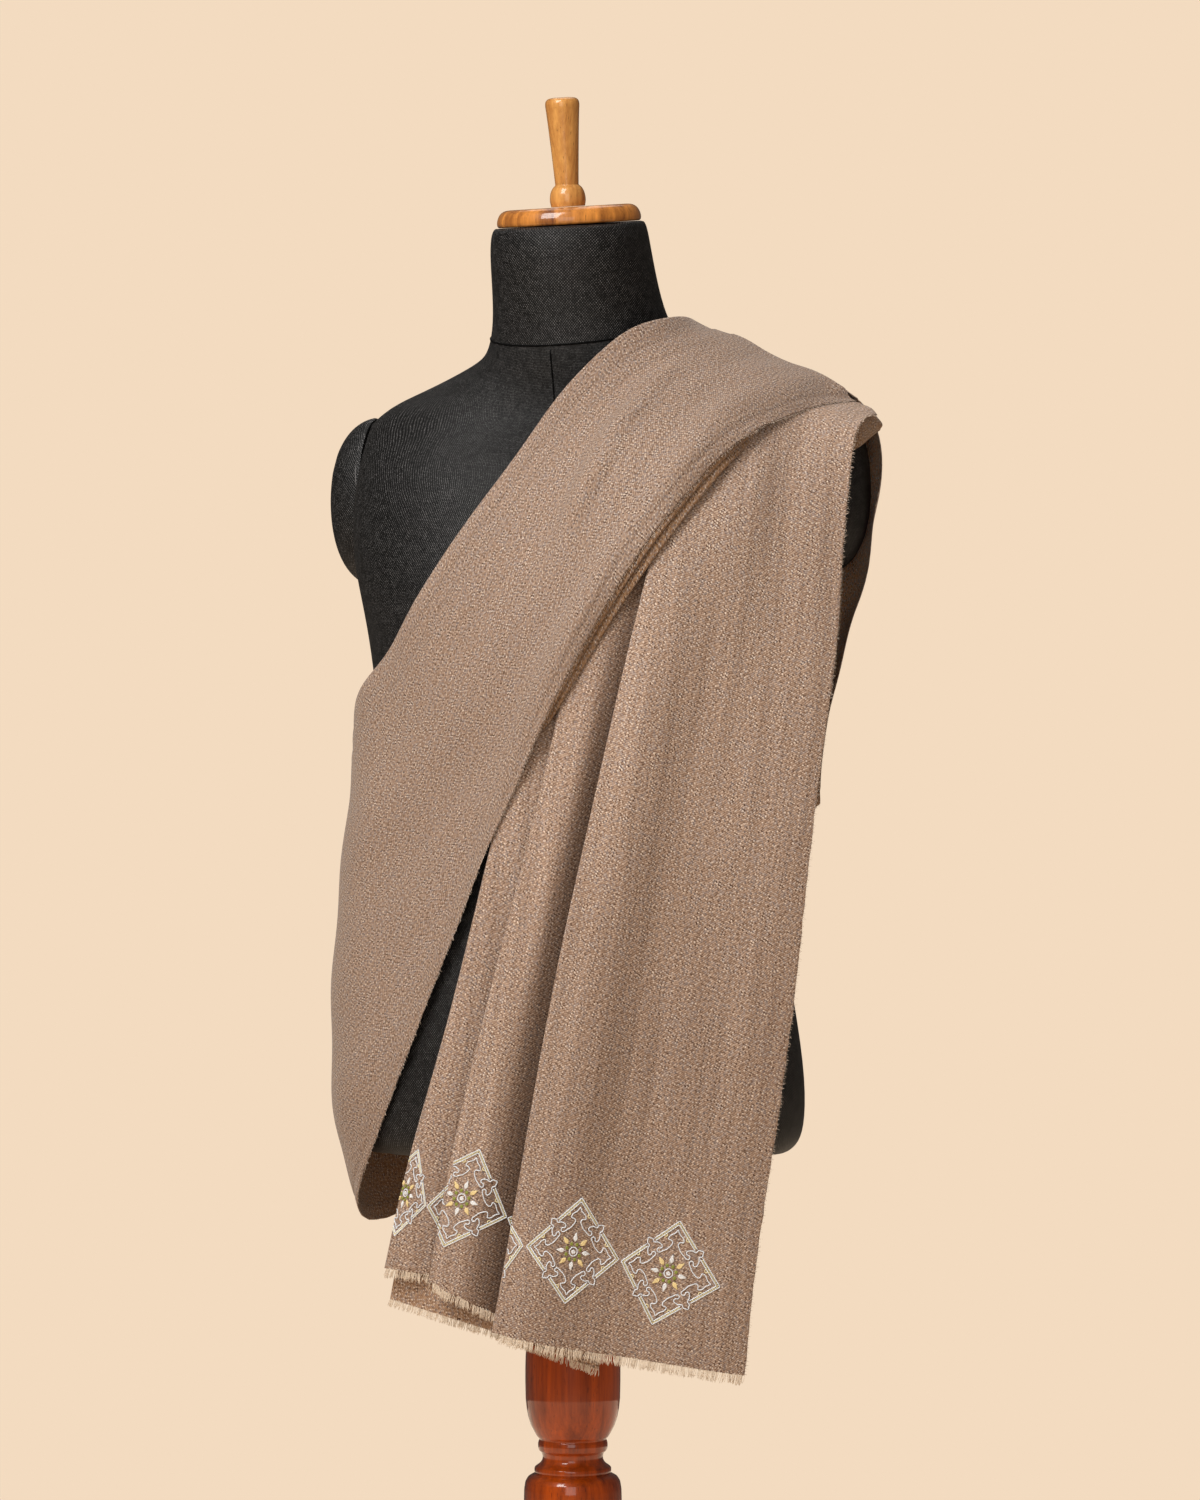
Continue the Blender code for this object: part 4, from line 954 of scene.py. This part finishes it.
# ---------------------------------------------------------------- operators: stage, form and stand
def camera_axes():
    """The camera's place, and its right, up and forward directions."""
    s = bpy.context.scene.studio
    turn = math.radians(VIEW_TURN_DEG)
    yaw, pitch = math.atan(AIM_ACROSS / FOCAL), math.atan(AIM_UP / FOCAL)
    side = np.array([math.cos(turn), math.sin(turn), 0.0])
    ahead = np.array([-math.sin(turn), math.cos(turn), 0.0])
    upright = np.array([0.0, 0.0, 1.0])
    eye = s.eye_height * upright - s.distance * ahead
    level = ahead * math.cos(yaw) + side * math.sin(yaw)
    right = side * math.cos(yaw) - ahead * math.sin(yaw)
    forward = level * math.cos(pitch) + upright * math.sin(pitch)
    up = upright * math.cos(pitch) - level * math.sin(pitch)
    return eye, right, up, forward


def towards_camera():
    """Level, from the object towards the camera."""
    return -camera_axes()[3] * (1, 1, 0)


def sight_line(across, down):
    """The camera's place, and the way from it through a place in its frame, for each metre ahead."""
    eye, right, up, forward = camera_axes()
    return eye, forward + (right * (across - FRAME_WIDTH / 2) + up * (FRAME_HEIGHT / 2 - down)) / FOCAL


class SHAWL_OT_stage(bpy.types.Operator):
    """Floor, backdrop, soft lights and camera"""

    bl_idname = "shawl.stage"
    bl_label = "Stage, lights and camera"

    def execute(self, context):
        scene, s = context.scene, context.scene.studio
        scene.view_settings.view_transform = "Standard"
        scene.view_settings.look = "None"
        eye, right, up, forward = camera_axes()
        data = bpy.data.cameras.new("studio_camera")
        data.sensor_width = SENSOR
        data.lens = s.lens
        scene.camera = placed("studio_camera", data)
        turned = Matrix([right, up, -forward]).transposed().to_4x4()
        scene.camera.matrix_world = Matrix.Translation(eye) @ turned
        self.make_world(scene, s)
        self.make_floor(s)
        powers = (s.key_power, s.fill_power, s.fill_power * 0.8)
        for (name, row), power in zip(LIGHTS.items(), powers):
            self.soft_light(name, power, *row)
        return {"FINISHED"}

    def make_world(self, scene, s):
        """A plain backdrop to the camera, and a warm weak light from all round to everything else."""
        world = bpy.data.worlds.new("studio_room")
        scene.world = world
        world.use_nodes = True
        tree = world.node_tree
        seen = tree.nodes["Background"]
        feed(tree, seen, {"Color": (*s.backdrop, 1.0)})
        path = node(tree, "LightPath").outputs
        glow = Wire(tree, path["Is Glossy Ray"]) * (-0.7 * s.room_light) + s.room_light
        lit = wire(tree, "Background", {"Color": (1.0, 0.90, 0.79, 1.0), "Strength": glow})
        shares = (Wire(tree, path["Is Camera Ray"]), lit, Wire(tree, seen.outputs[0]))
        feed(tree, tree.nodes["World Output"], {"Surface": wire(tree, "MixShader", enumerate(shares))})

    def make_floor(self, s):
        """A round floor that fades into the backdrop."""
        mesh = bmesh.new()
        bmesh.ops.create_circle(mesh, cap_ends=True, cap_tris=False, segments=96, radius=FLOOR_RADIUS)
        floor = placed("studio_floor", mesh_of("studio_floor", mesh))
        made, tree, shader = new_material("pale_floor")
        pale = (*s.backdrop, 1.0)
        feed(tree, shader, {"Base Color": pale, "Roughness": 0.9})
        place = wire(tree, "TexCoord", output="Object")
        far = wire(tree, "VectorMath", ((0, place),), "Value", operation="LENGTH")
        glow = wire(tree, "Emission", {"Color": pale, "Strength": 1.0})
        shares = (ramp(far, *FLOOR_FADE), Wire(tree, shader.outputs[0]), glow)
        feed(tree, tree.nodes["Material Output"], {"Surface": wire(tree, "MixShader", enumerate(shares))})
        floor.data.materials.append(made)

    def soft_light(self, name, power, azimuth, elevation, distance, size, tint):
        """An area light that faces the form's middle."""
        data = bpy.data.lights.new(name, "AREA")
        data.shape, data.size, data.size_y = "RECTANGLE", size, size * 1.4
        data.energy, data.color = power, tint
        a, e = math.radians(azimuth), math.radians(elevation)
        back = Vector((math.sin(a) * math.cos(e), -math.cos(a) * math.cos(e), math.sin(e)))
        turn = back.to_track_quat("Z", "Y").to_matrix().to_4x4()
        placed(name, data).matrix_world = Matrix.Translation(LIT_MIDDLE + back * distance) @ turn


class SHAWL_OT_dress_form(bpy.types.Operator):
    """Black cloth cover of the torso, neck and arm caps, and its seams"""

    bl_idname = "shawl.dress_form"
    bl_label = "Dress form"

    def execute(self, context):
        s = context.scene.dress_form
        black, black_cap = cover_material("black_cover_cloth"), cover_material("black_arm_cover_cloth", 1.0)
        torso = covered_piece("form_cover", "form_torso", black)
        covered_piece("arm_cover_left", "form_arm_cap_left", black_cap)
        right_cap = covered_piece("arm_cover_right", "form_arm_cap_right", black_cap)
        dark = plain_material("seam_groove", s.cover, roughness=0.9)
        pale = plain_material("seam_thread", s.glint, roughness=0.7)
        thread_piece("form_seams", self.seams(tree_of(torso)), dark, 0.0008)
        stitches = first_hits(tree_of(right_cap), [sight_line(*place) for place in ARM_SEAM])
        line = spline_through(steps(len(stitches)), stitches, steps(40))
        thread_piece("arm_cap_seams", [line, line * (-1, 1, 1)], pale, 0.00035)
        return {"FINISHED"}

    def seams(self, tree):
        """The centre seams of the front and the back, and the seam round the neck's base."""
        lines = []
        for side in (-1, 1):
            rays = [((0.0, side * 0.4, z), (0, -side, 0)) for z in np.arange(*CENTRE_SEAM, SEAM_STEP)]
            lines.append(first_hits(tree, rays))
        middle = Vector((0.0, 0.0, NECK_SEAM_Z))
        rays = []
        for turn in np.linspace(0, 2 * math.pi, 181):
            way = Vector((math.sin(turn), -math.cos(turn), -NECK_SEAM_TILT * math.cos(turn)))
            rays.append((middle + 0.15 * way, -way))
        return lines + [first_hits(tree, rays)]


class SHAWL_OT_woodwork(bpy.types.Operator):
    """Turned neck cap, handle, post and base"""

    bl_idname = "shawl.woodwork"
    bl_label = "Turned wood"

    def execute(self, context):
        s = context.scene.dress_form
        cap = wood_material("brown_cap_wood", s.cap_light, s.cap_dark, figure=55.0, coat=0.8)
        handle = wood_material("honey_handle_wood", s.handle_light, s.handle_dark, figure=90.0, coat=0.7)
        stand = wood_material("red_brown_stand_wood", s.stand_light, s.stand_dark, figure=48.0, coat=1.0)
        turned_piece("neck_cap_wood", NECK_CAP_PROFILE, 96, cap, "form_neck_cap", True)
        turned_piece("handle_wood", HANDLE_PROFILE, 64, handle, "form_handle", True)
        turned_piece("post_wood", POST_PROFILE, 96, stand, "stand_post")
        turned_piece("base_wood", BASE_PROFILE, 128, stand, "stand_base")
        return {"FINISHED"}


# ---------------------------------------------------------------- operators: the shawl
class SHAWL_OT_front_panel(bpy.types.Operator):
    """The hanging front end with its pleats, and the inner layer below its hem"""

    bl_idname = "shawl.front_panel"
    bl_label = "Front panel"

    def execute(self, context):
        s = context.scene.shawl
        # Painted light and shade: the face is a little lighter and the reverse darker than the plain cloth, and
        # the inner layer, which lies in shade under the pleats, is painted lighter.
        face = wool_material("pashmina_panel", s.warp, streaks=0.62, dim=1.04)
        back = wool_material("pashmina_reverse", s.reverse, streaks=0.10, dim=0.86)
        halfway = [(a + b) / 2 for a, b in zip(s.warp, s.reverse)]
        inner = wool_material("pashmina_inner_layer", halfway, streaks=0.10, dim=1.05)
        grid, tone = self.pleated()
        cloth_piece("panel_cloth", grid, [face, back], PANEL_FRONT, tone)
        under = refined("inner_layer_cloth", grid_of("inner_layer_cloth"))
        rightward = (under[..., 0] - under[..., 0].min()) / np.ptp(under[..., 0])
        lowness = run_along(under, 0) / run_along(under, 0)[-1:]
        under[..., 2] -= INNER_LAYER_DROP * ease(0.3, 0.8, rightward) * lowness**2
        cloth_piece("inner_layer_cloth", under, [inner], PANEL_FRONT)
        return {"FINISHED"}

    def pleated(self):
        """The panel's fine grid with its rolls and ripples, and a tone of painted fold shade, darker lines and
        a pale selvedge.
        """
        _, right, up, _ = camera_axes()
        coarse = grid_of("panel_cloth")
        for row, column, side, rise in CORNER_MOVES:
            coarse[row, column] += (side * right + rise * up) / 1000
        grid = refined("panel_cloth", coarse)
        rows, columns = (coarse_marks(coarse, grid, axis) for axis in (0, 1))
        depth = np.maximum(spline_through(*zip(*RELIEF_BY_ROW), rows), 0)
        roll = np.interp(columns, *zip(*PANEL_RELIEF)) / 1000
        grid = grid + smoothed((depth * roll)[..., None], 5, (1,)) * towards_camera()
        outward = outward_of(grid, PANEL_FRONT)
        across, down = run_along(grid, 1), run_along(grid, 0)
        lift = 0.0009 * np.sin(across * 95 + 0.6) * ease(0.05, 0.25, down) * (1 - ease(0.20, 0.27, across))
        wider = np.sin(across * 41 + down * 3.0) * ease(0.1, 0.3, down)
        lift += 0.0007 * wider * (1 - ease(0.2, 0.26, across))
        grid = grid + (lift * (1 - ease(0.24, 0.27, across)))[..., None] * outward
        grid = ragged(grid, last=False, amount=0.00022, seed=3)
        return grid, self.painted_shade_and_tone(columns, depth, across, grid[..., 2])

    def painted_shade_and_tone(self, columns, depth, across, height):
        """The panel's tone: painted shade in the valleys beside the pleats and on the first roll's flank,
        darker reddish lines, a pale selvedge, painted shade along a pressed line, and darker low on the broad
        run.
        """
        broad = 1 - ease(0.20, 0.25, across)
        # Painted shade: the valleys where each pleat dips under its neighbour, and the flank beside the first
        # roll's crest.
        first_valley = (1 - ease(22.9, 24.9, columns)) * ((columns > 20.5) & (columns < 24.95))
        second_valley = (1 - ease(36.05, 36.75, columns)) * ((columns > 31) & (columns < 36.8))
        tone = 1 - 0.80 * np.minimum(1.0, 1.6 * depth) ** 0.5 * first_valley
        tone -= 0.22 * depth * second_valley
        tone -= depth * (0.14 * bump_at(columns, 7.2, 0.9) + 0.09 * bump_at(columns, 8.7, 1.1))
        darker_lines = sum(strength * bump_at(across, place, width) for place, width, strength in DARKER_LINES)
        tone -= 0.13 * darker_lines * bump_at(height, 1.275, 0.065) * broad
        tone -= 0.10 * darker_lines * bump_at(height, 0.93, 0.16) * bump_at(across, 0.03, 0.02)
        tone += 0.06 * (1 - ease(0.004, 0.007, across))
        # Painted shade along a pressed line across the panel.
        tone -= 0.06 * bump_at(height + 0.05 * across, 0.985, 0.0025) * bump_at(across, 0.12, 0.06)
        return tone * (1 - 0.09 * (1 - ease(0.86, 1.18, height)) * broad)


class SHAWL_OT_band(bpy.types.Operator):
    """The folded band: front sash, hip turn and back stretch, and the inner folds that peep out"""

    bl_idname = "shawl.band"
    bl_label = "Sash, hip turn and back"

    def execute(self, context):
        s = context.scene.shawl
        # Painted light and shade: the sash's face and the insides of the sash, hip turn and inner folds are
        # darker copies of the cloth, as shade; the back stretch's inner side, which the lamps hardly reach, is
        # painted at twice the reverse's colour, as light.
        face = wool_material("pashmina_sash", s.warp, streaks=0.16, dim=0.86)
        back = wool_material("pashmina_sash_reverse", s.reverse, streaks=0.10, dim=0.60)
        painted_light_reverse = wool_material("pashmina_back_reverse", s.reverse, streaks=0.10, dim=2.0)
        inner = wool_material("pashmina_fold", s.reverse, streaks=0.05, dim=0.75)
        grid, cuts = self.whole_band()
        outward = outward_of(grid, grid - (0.0, 0.01, 0.0) - grid.mean(axis=1, keepdims=True) * (0, 0, 1))
        relief, tone, roll = self.creases(grid, cuts[1])
        grid = ragged(grid + relief[..., None] * outward, last=True, amount=0.00028, seed=7)
        folds = ("fold_lower_cloth", "fold_upper_cloth")
        for piece in folds:
            part = refined(piece, grid_of(piece))
            rise = -0.002 + 0.005 * ease(0.008, 0.045, run_along(part, 0))
            cloth_piece(piece, part + rise[..., None] * towards_camera(), [inner], FOLD_FRONT)
        rests = [tree_of_grid(GRIDS[piece]) for piece in ("panel_cloth", *folds)]
        rests += [tree_of(bpy.data.objects[n]) for n in ("form_cover", "arm_cover_left", "arm_cover_right")]
        grid = settle(grid, outward, rests, gap=0.0012, first=roll + 4)
        grid = self.hug(grid, outward, rests[0])
        for piece, low, high, inside in (
            ("sash_cloth", 0, cuts[0], back),
            ("hip_cloth", cuts[0], cuts[1], back),
            ("back_cloth", cuts[1], len(grid) - 1, painted_light_reverse),
        ):
            part = slice(low, high + 1)
            cloth_piece(piece, grid[part], [face, inside], outward[part], tone[part])
        # The turned-in layer is a darker copy of the reverse: painted shade.
        self.flap(wool_material("pashmina_turned_layer", s.reverse, streaks=0.10, dim=0.74))
        return {"FINISHED"}

    def whole_band(self):
        """The three stretches as one fine grid, and the rows where they part again."""
        sash, hip, rear = (grid_of(piece) for piece in ("sash_cloth", "hip_cloth", "back_cloth"))
        ends = [(sash[-1] + hip[0]) / 2, (hip[-1] + rear[0]) / 2]
        coarse = np.concatenate([sash[:-1], ends[:1], hip[1:-1], ends[1:], rear[1:]])
        marks = run_along(coarse, 0).mean(axis=1)
        grid = smoothed(refined("sash_cloth", coarse), 26, (0,))
        along = run_along(grid, 0).mean(axis=1)
        seams = marks[[len(sash) - 1, len(sash) + len(hip) - 2]] * along[-1] / marks[-1]
        return grid, [int(np.argmin(abs(along - seam))) for seam in seams]

    def creases(self, grid, rear):
        """How far the band's creases and soft folds stand out, a tone of painted shade along its creases and
        darker near the shoulder, and its rolled edge.
        """
        across, down = run_along(grid, 1), run_along(grid, 0)
        roll = np.argmin(abs(across[0] - 0.012))
        across = across - across[:, roll : roll + 1]
        from_selvedge = across[:, -1:] - across
        first = 0.0155 + 0.0012 * np.sin(down * 9)
        second = 0.0310 + 0.0020 * np.sin(down * 7 + 1)
        inner = 0.0095 + 0.0010 * np.sin(down * 8)
        fade = 0.55 + 0.45 * np.sin(down * 5.3 + 0.8)
        relief = 0.0010 * ease(first - 0.002, first + 0.002, across)
        relief += 0.0009 * ease(second - 0.002, second + 0.002, across)
        relief -= 0.0007 * bump_at(from_selvedge, inner, 0.0022)
        # Painted shade: dark lines along the creases.
        tone = 1 - 0.20 * fade * bump_at(across, first - 0.001, 0.0018)
        tone -= 0.15 * bump_at(across, second - 0.001, 0.0019)
        tone -= 0.09 * bump_at(across, second + 0.008, 0.0014) * (1 - fade)
        tone -= 0.07 * bump_at(from_selvedge, inner, 0.0015)
        tone *= 1 - 0.08 * (1 - ease(0.08, 0.26, down))
        ripple = np.sin(across * 60 + down * 2.5)
        relief += 0.0010 * ripple * ease(0.03, 0.07, across) * ease(0.02, 0.06, from_selvedge)
        behind = ease(rear + 4, rear + 40, np.arange(len(grid)))[:, None]
        inside = ease(0.03, 0.08, across) * ease(0.02, 0.07, from_selvedge) * behind
        folds = np.sin(across * 46 - down * 9 + 0.6) + 0.5 * np.sin(across * 83 + down * 6)
        return relief + 0.0013 * (0.5 + folds) * inside, tone, roll

    def hug(self, grid, outward, panel):
        """The sash's selvedge, drawn down on to the panel near the shoulder, where it lies close."""
        eye, right, _, forward = camera_axes()
        from_eye = grid[:, -1] - eye
        close = ease(*HUG_ACROSS, FRAME_WIDTH / 2 + FOCAL * (from_eye @ right) / (from_eye @ forward))
        drop = np.zeros(grid.shape[:2])
        last = grid.shape[1] - 1
        lifted = 0.001
        for i in np.nonzero((close > 0) & (np.arange(len(grid)) < HUG_ROWS))[0]:
            for j in range(last - 34, last + 1):
                start = Vector(grid[i, j] + lifted * outward[i, j])
                hit = panel.ray_cast(start, Vector(-outward[i, j]), 0.014)
                if hit[0] is not None:
                    spare = max(0.0, hit[3] - lifted - HUG_GAP)
                    drop[i, j] = spare * close[i] * ease(last - 32, last - 2, j)
        return grid - smoothed(drop[..., None], 6) * outward

    def flap(self, material):
        """The turned-in layer that shows between the panel's edge and the back, at the shoulder."""
        rows = []
        for row in FLAP_ROWS:
            sights = [(*sight_line(across, down), FLAP_START + depth / 1000) for across, down, depth in row]
            rows.append([eye + way * far for eye, way, far in sights])
        grid = refined("shoulder_flap_cloth", np.array(rows))
        cloth_piece("shoulder_flap_cloth", grid, [material], FLAP_FRONT)


class SHAWL_OT_tail(bpy.types.Operator):
    """The other end, over the shoulder and down the back"""

    bl_idname = "shawl.tail"
    bl_label = "Tail"

    def execute(self, context):
        s = context.scene.shawl
        face = wool_material("pashmina_tail", s.warp, streaks=0.25)
        # The tail's reverse is a darker copy of the cloth: painted shade.
        back = wool_material("pashmina_tail_reverse", s.reverse, streaks=0.1, dim=0.7)
        grid = refined("tail_cloth", grid_of("tail_cloth"))
        across, down = run_along(grid, 1), run_along(grid, 0)
        folds = np.sin(across * 92 + down * 1.2) + 0.5 * np.sin(across * 41 - down * 2.0 + 1.0)
        lift = 0.0019 * (1.3 + folds) * ease(0.16, 0.42, down)
        grid = grid + lift[..., None] * outward_of(grid, TAIL_FRONT)
        grid = ragged(grid, last=True, amount=0.0002, seed=9)
        cloth_piece("tail_cloth", grid, [face, back], TAIL_FRONT)
        return {"FINISHED"}


class SHAWL_OT_embroidery(bpy.types.Operator):
    """Hand-laid threads of the squares along the front hem"""

    bl_idname = "shawl.embroidery"
    bl_label = "Embroidery"

    def execute(self, context):
        s = context.scene.shawl
        tree = tree_of_grid(GRIDS["panel_cloth"])
        rise = s.thickness / 2 + 0.00035
        lines = {kind: [] for kind in THREAD_RADII}
        for square in SQUARES:
            for kind, path in self.design():
                lines[kind] += self.lay(path, *square, tree, rise)
        for kind, radius in THREAD_RADII.items():
            made = thread_material(kind + "_thread", getattr(s, kind), roughness=0.4)
            thread_piece("embroidery_" + kind, lines[kind], made, radius)
        return {"FINISHED"}

    def design(self):
        """Every thread of one square, as its kind and points in millimetres."""
        found = []
        for side in range(4):
            turn = side * math.pi / 2
            spin = np.array([[math.cos(turn), math.sin(turn)], [-math.sin(turn), math.cos(turn)]])
            for kind, points in self.border():
                found += [(kind, points * flip @ spin) for flip in ((1, 1), (-1, 1))]
            for kind, angle in (("yellow", turn), ("white", turn + math.pi / 4)):
                found += [(kind, thread) for thread in self.petal(angle)]
            for angle in (turn + math.pi / 8, turn + 3 * math.pi / 8):
                middle = 6.5 * np.array([math.cos(angle), math.sin(angle)])
                found.append(("green", self.coil(middle, 0.3, 1.1, 2.0)))
        found.append(("silver", self.coil(np.zeros(2), 3.7, 3.5, 1.05)))
        found.append(("white", self.coil(np.zeros(2), 0.3, 1.5, 2.2)))
        return found

    def border(self):
        """Half of a side: two border lines, the zigzag between them, the scroll and its spur."""
        found = []
        for level in (SQUARE_HALF, SQUARE_HALF - 2.1):
            count = max(2, int((level - BORDER_GAP - 0.5) / 0.8))
            line = [(x, -level) for x in np.linspace(-level, -BORDER_GAP - 0.5, count)]
            found.append(("silver", np.array(line)))
        count = int((SQUARE_HALF - BORDER_GAP - 1.6) / 0.8)
        zigzag = [(1.2 + 0.8 * k - SQUARE_HALF, (0.4 if k % 2 else 1.7) - SQUARE_HALF) for k in range(count)]
        found.append(("cream", np.array(zigzag)))
        for kind, points in (("silver", SCROLL), ("cream", BORDER_SPUR)):
            marks = run_along(np.array([points]), 1)[0]
            found.append((kind, spline_through(marks, points, np.arange(0, marks[-1], 0.6))))
        return found

    def petal(self, angle):
        """Five curved threads side by side, shorter towards the flanks."""
        way = np.array([math.cos(angle), math.sin(angle)])
        flank = np.array([-way[1], way[0]])
        t = steps(8)[:, None]
        for k in range(-2, 3):
            low, high = 7.9 + 0.5 * abs(k), 15.2 - 0.95 * abs(k) ** 1.4
            yield way * (low + (high - low) * t) + flank * 0.62 * k * np.sin(math.pi * (0.15 + 0.7 * t))

    def coil(self, middle, low, high, turns):
        t = steps(int(14 * turns) + 1)
        radius = low + (high - low) * t
        angle = t * turns * 2 * math.pi
        return middle + np.stack([radius * np.cos(angle), radius * np.sin(angle)], axis=-1)

    def lay(self, path, corners, right_of, left_of, tree, rise):
        """The path on the cloth, parted wherever a fold hides it or steps away."""
        top, right, bottom, left = np.array(corners, float)
        runs = [[]]
        for p, q in path:
            a, b = (p / SQUARE_HALF + 1) / 2, (q / SQUARE_HALF + 1) / 2
            spot = (1 - a) * (1 - b) * left + a * (1 - b) * bottom + a * b * right + (1 - a) * b * top
            shown = all(
                name is None or sign * (spot[0] - np.interp(spot[1], *zip(*FOLD_EDGES[name]))) > -0.5
                for name, sign in ((right_of, 1), (left_of, -1))
            )
            eye, way = (Vector(part) for part in sight_line(*spot))
            hit = tree.ray_cast(eye, way) if shown else (None,)
            if hit[0] is None or (runs[-1] and (hit[0] - runs[-1][-1]).length > 0.0035):
                runs.append([])
            if hit[0] is not None:
                out = hit[1] if hit[1].dot(way) < 0 else -hit[1]
                runs[-1].append(hit[0] + out * rise)
        return [[tuple(p) for p in run] for run in runs if len(run) > 2]


class SHAWL_OT_fringes(bpy.types.Operator):
    """Unwoven threads under each hem, and the fuzz of the raw edges"""

    bl_idname = "shawl.fringes"
    bl_label = "Fringes and raw edges"

    def execute(self, context):
        s = context.scene.shawl
        pale = thread_material("fringe_yarn", s.fringe, roughness=0.7)
        fuzz = thread_material("edge_fuzz_yarn", s.weft, roughness=0.8)
        for name, packed, piece, low, high, share, seed in FRINGES:
            coarse, fine = (run_along(grid[-1:], 1)[0] for grid in (grid_of(piece), GRIDS[piece]))
            marks = coarse * fine[-1] / coarse[-1]
            pick = (fine >= marks[low] - MERGE) & (fine <= marks[high] + MERGE)
            self.fringe(name, GRIDS[piece][:, pick], packed, pale, s.fringe_drop * share, seed)
        lines = []
        for piece, edge, beside, seed in (
            ("panel_cloth", 0, 2, 31),
            ("sash_cloth", -1, -3, 32),
            ("back_cloth", -1, -3, 33),
        ):
            lines += self.fuzz(GRIDS[piece][:, edge], GRIDS[piece][:, beside], seed)
        thread_piece("raw_edge_fuzz", lines, fuzz, 0.00013)
        return {"FINISHED"}

    def root(self, place, run, edge, beside):
        """The point that far along an edge, and the way out of the cloth there."""
        point, inner = (np.array([np.interp(place, run, part) for part in line.T]) for line in (edge, beside))
        return point, (point - inner) / np.linalg.norm(point - inner)

    def fringe(self, name, grid, packed, material, drop, seed):
        """Loose yarns that hang from a hem in small clumps."""
        draw = np.random.default_rng(seed)
        run = run_along(grid[-1:], 1)[0]
        count = int(run[-1] / FRINGE_PACE)
        at = np.sort(draw.uniform(0, run[-1], count))
        clump = draw.normal(0, 0.0009, count // 6 + 2)
        t = steps(6)[:, None]
        lines = []
        for k, place in enumerate(at):
            point, down = self.root(place, run, grid[-1], grid[-3])
            side = unit(np.cross(down, (0.0, -1.0, 0.1)))
            out = np.cross(side, down)
            reach = drop * draw.uniform(0.72, 1.08)
            lean = clump[k // 6] + draw.normal(0, 0.0006)
            curl = draw.normal(0, 0.0005)
            start = point - down * 0.0012 + out * draw.normal(0, 0.00018)
            sway = lean * t**1.6 + curl * np.sin(3.0 * t)
            lines.append(start + down * reach * t + side * sway + out * (0.4 * curl + 0.0004) * t)
        thread_piece(name, lines, material, 0.00022, [packed])

    def fuzz(self, edge, beside, seed):
        """Short loose fibres along a raw edge."""
        draw = np.random.default_rng(seed)
        run = run_along(edge[None], 1)[0]
        lines = []
        for place in np.arange(0.002, run[-1], FUZZ_PACE):
            place = min(run[-1], place + draw.uniform(-0.0006, 0.0006))
            point, away = self.root(place, run, edge, beside)
            spread = draw.normal(0, 0.0006, 3)
            tip = away * draw.uniform(0.0006, 0.0019) + spread
            bend = draw.normal(0, 0.0005, 3)
            lines.append([point - away * 0.0006, point + tip * 0.5 - spread * 0.1 + bend * 0.5, point + tip])
        return lines


OPERATORS = (
    SHAWL_OT_stage,
    SHAWL_OT_dress_form,
    SHAWL_OT_woodwork,
    SHAWL_OT_front_panel,
    SHAWL_OT_band,
    SHAWL_OT_tail,
    SHAWL_OT_embroidery,
    SHAWL_OT_fringes,
)


class SHAWL_PT_sidebar(bpy.types.Panel):
    """The shawl's pieces and settings in the sidebar"""

    bl_idname = "SHAWL_PT_sidebar"
    bl_label = "Pashmina shawl"
    bl_space_type = "VIEW_3D"
    bl_region_type = "UI"
    bl_category = "Shawl"

    def draw(self, context):
        for operator in OPERATORS:
            self.layout.operator(operator.bl_idname)
        for settings in (context.scene.shawl, context.scene.dress_form, context.scene.studio):
            box = self.layout.box()
            for label in settings.__annotations__:
                box.prop(settings, label)


CLASSES = (ShawlSettings, DressFormSettings, StudioSettings, *OPERATORS, SHAWL_PT_sidebar)


def register():
    for made in CLASSES:
        bpy.utils.register_class(made)
    bpy.types.Scene.shawl = PointerProperty(type=ShawlSettings)
    bpy.types.Scene.dress_form = PointerProperty(type=DressFormSettings)
    bpy.types.Scene.studio = PointerProperty(type=StudioSettings)


def unregister():
    del bpy.types.Scene.shawl, bpy.types.Scene.dress_form, bpy.types.Scene.studio
    for made in reversed(CLASSES):
        bpy.utils.unregister_class(made)


def declare_sheets():
    """Finds, for each piece of cloth, the fringes that hang from its hem; nothing more is done with them."""
    for piece, row in CLOTH.items():
        fringes = [bpy.data.objects[name] for name, _, hem_of, *_ in FRINGES if hem_of == piece]


def main():
    register()
    for operator in OPERATORS:
        getattr(bpy.ops.shawl, operator.bl_idname.split(".")[1])()
    declare_sheets()


if __name__ == "__main__":
    main()
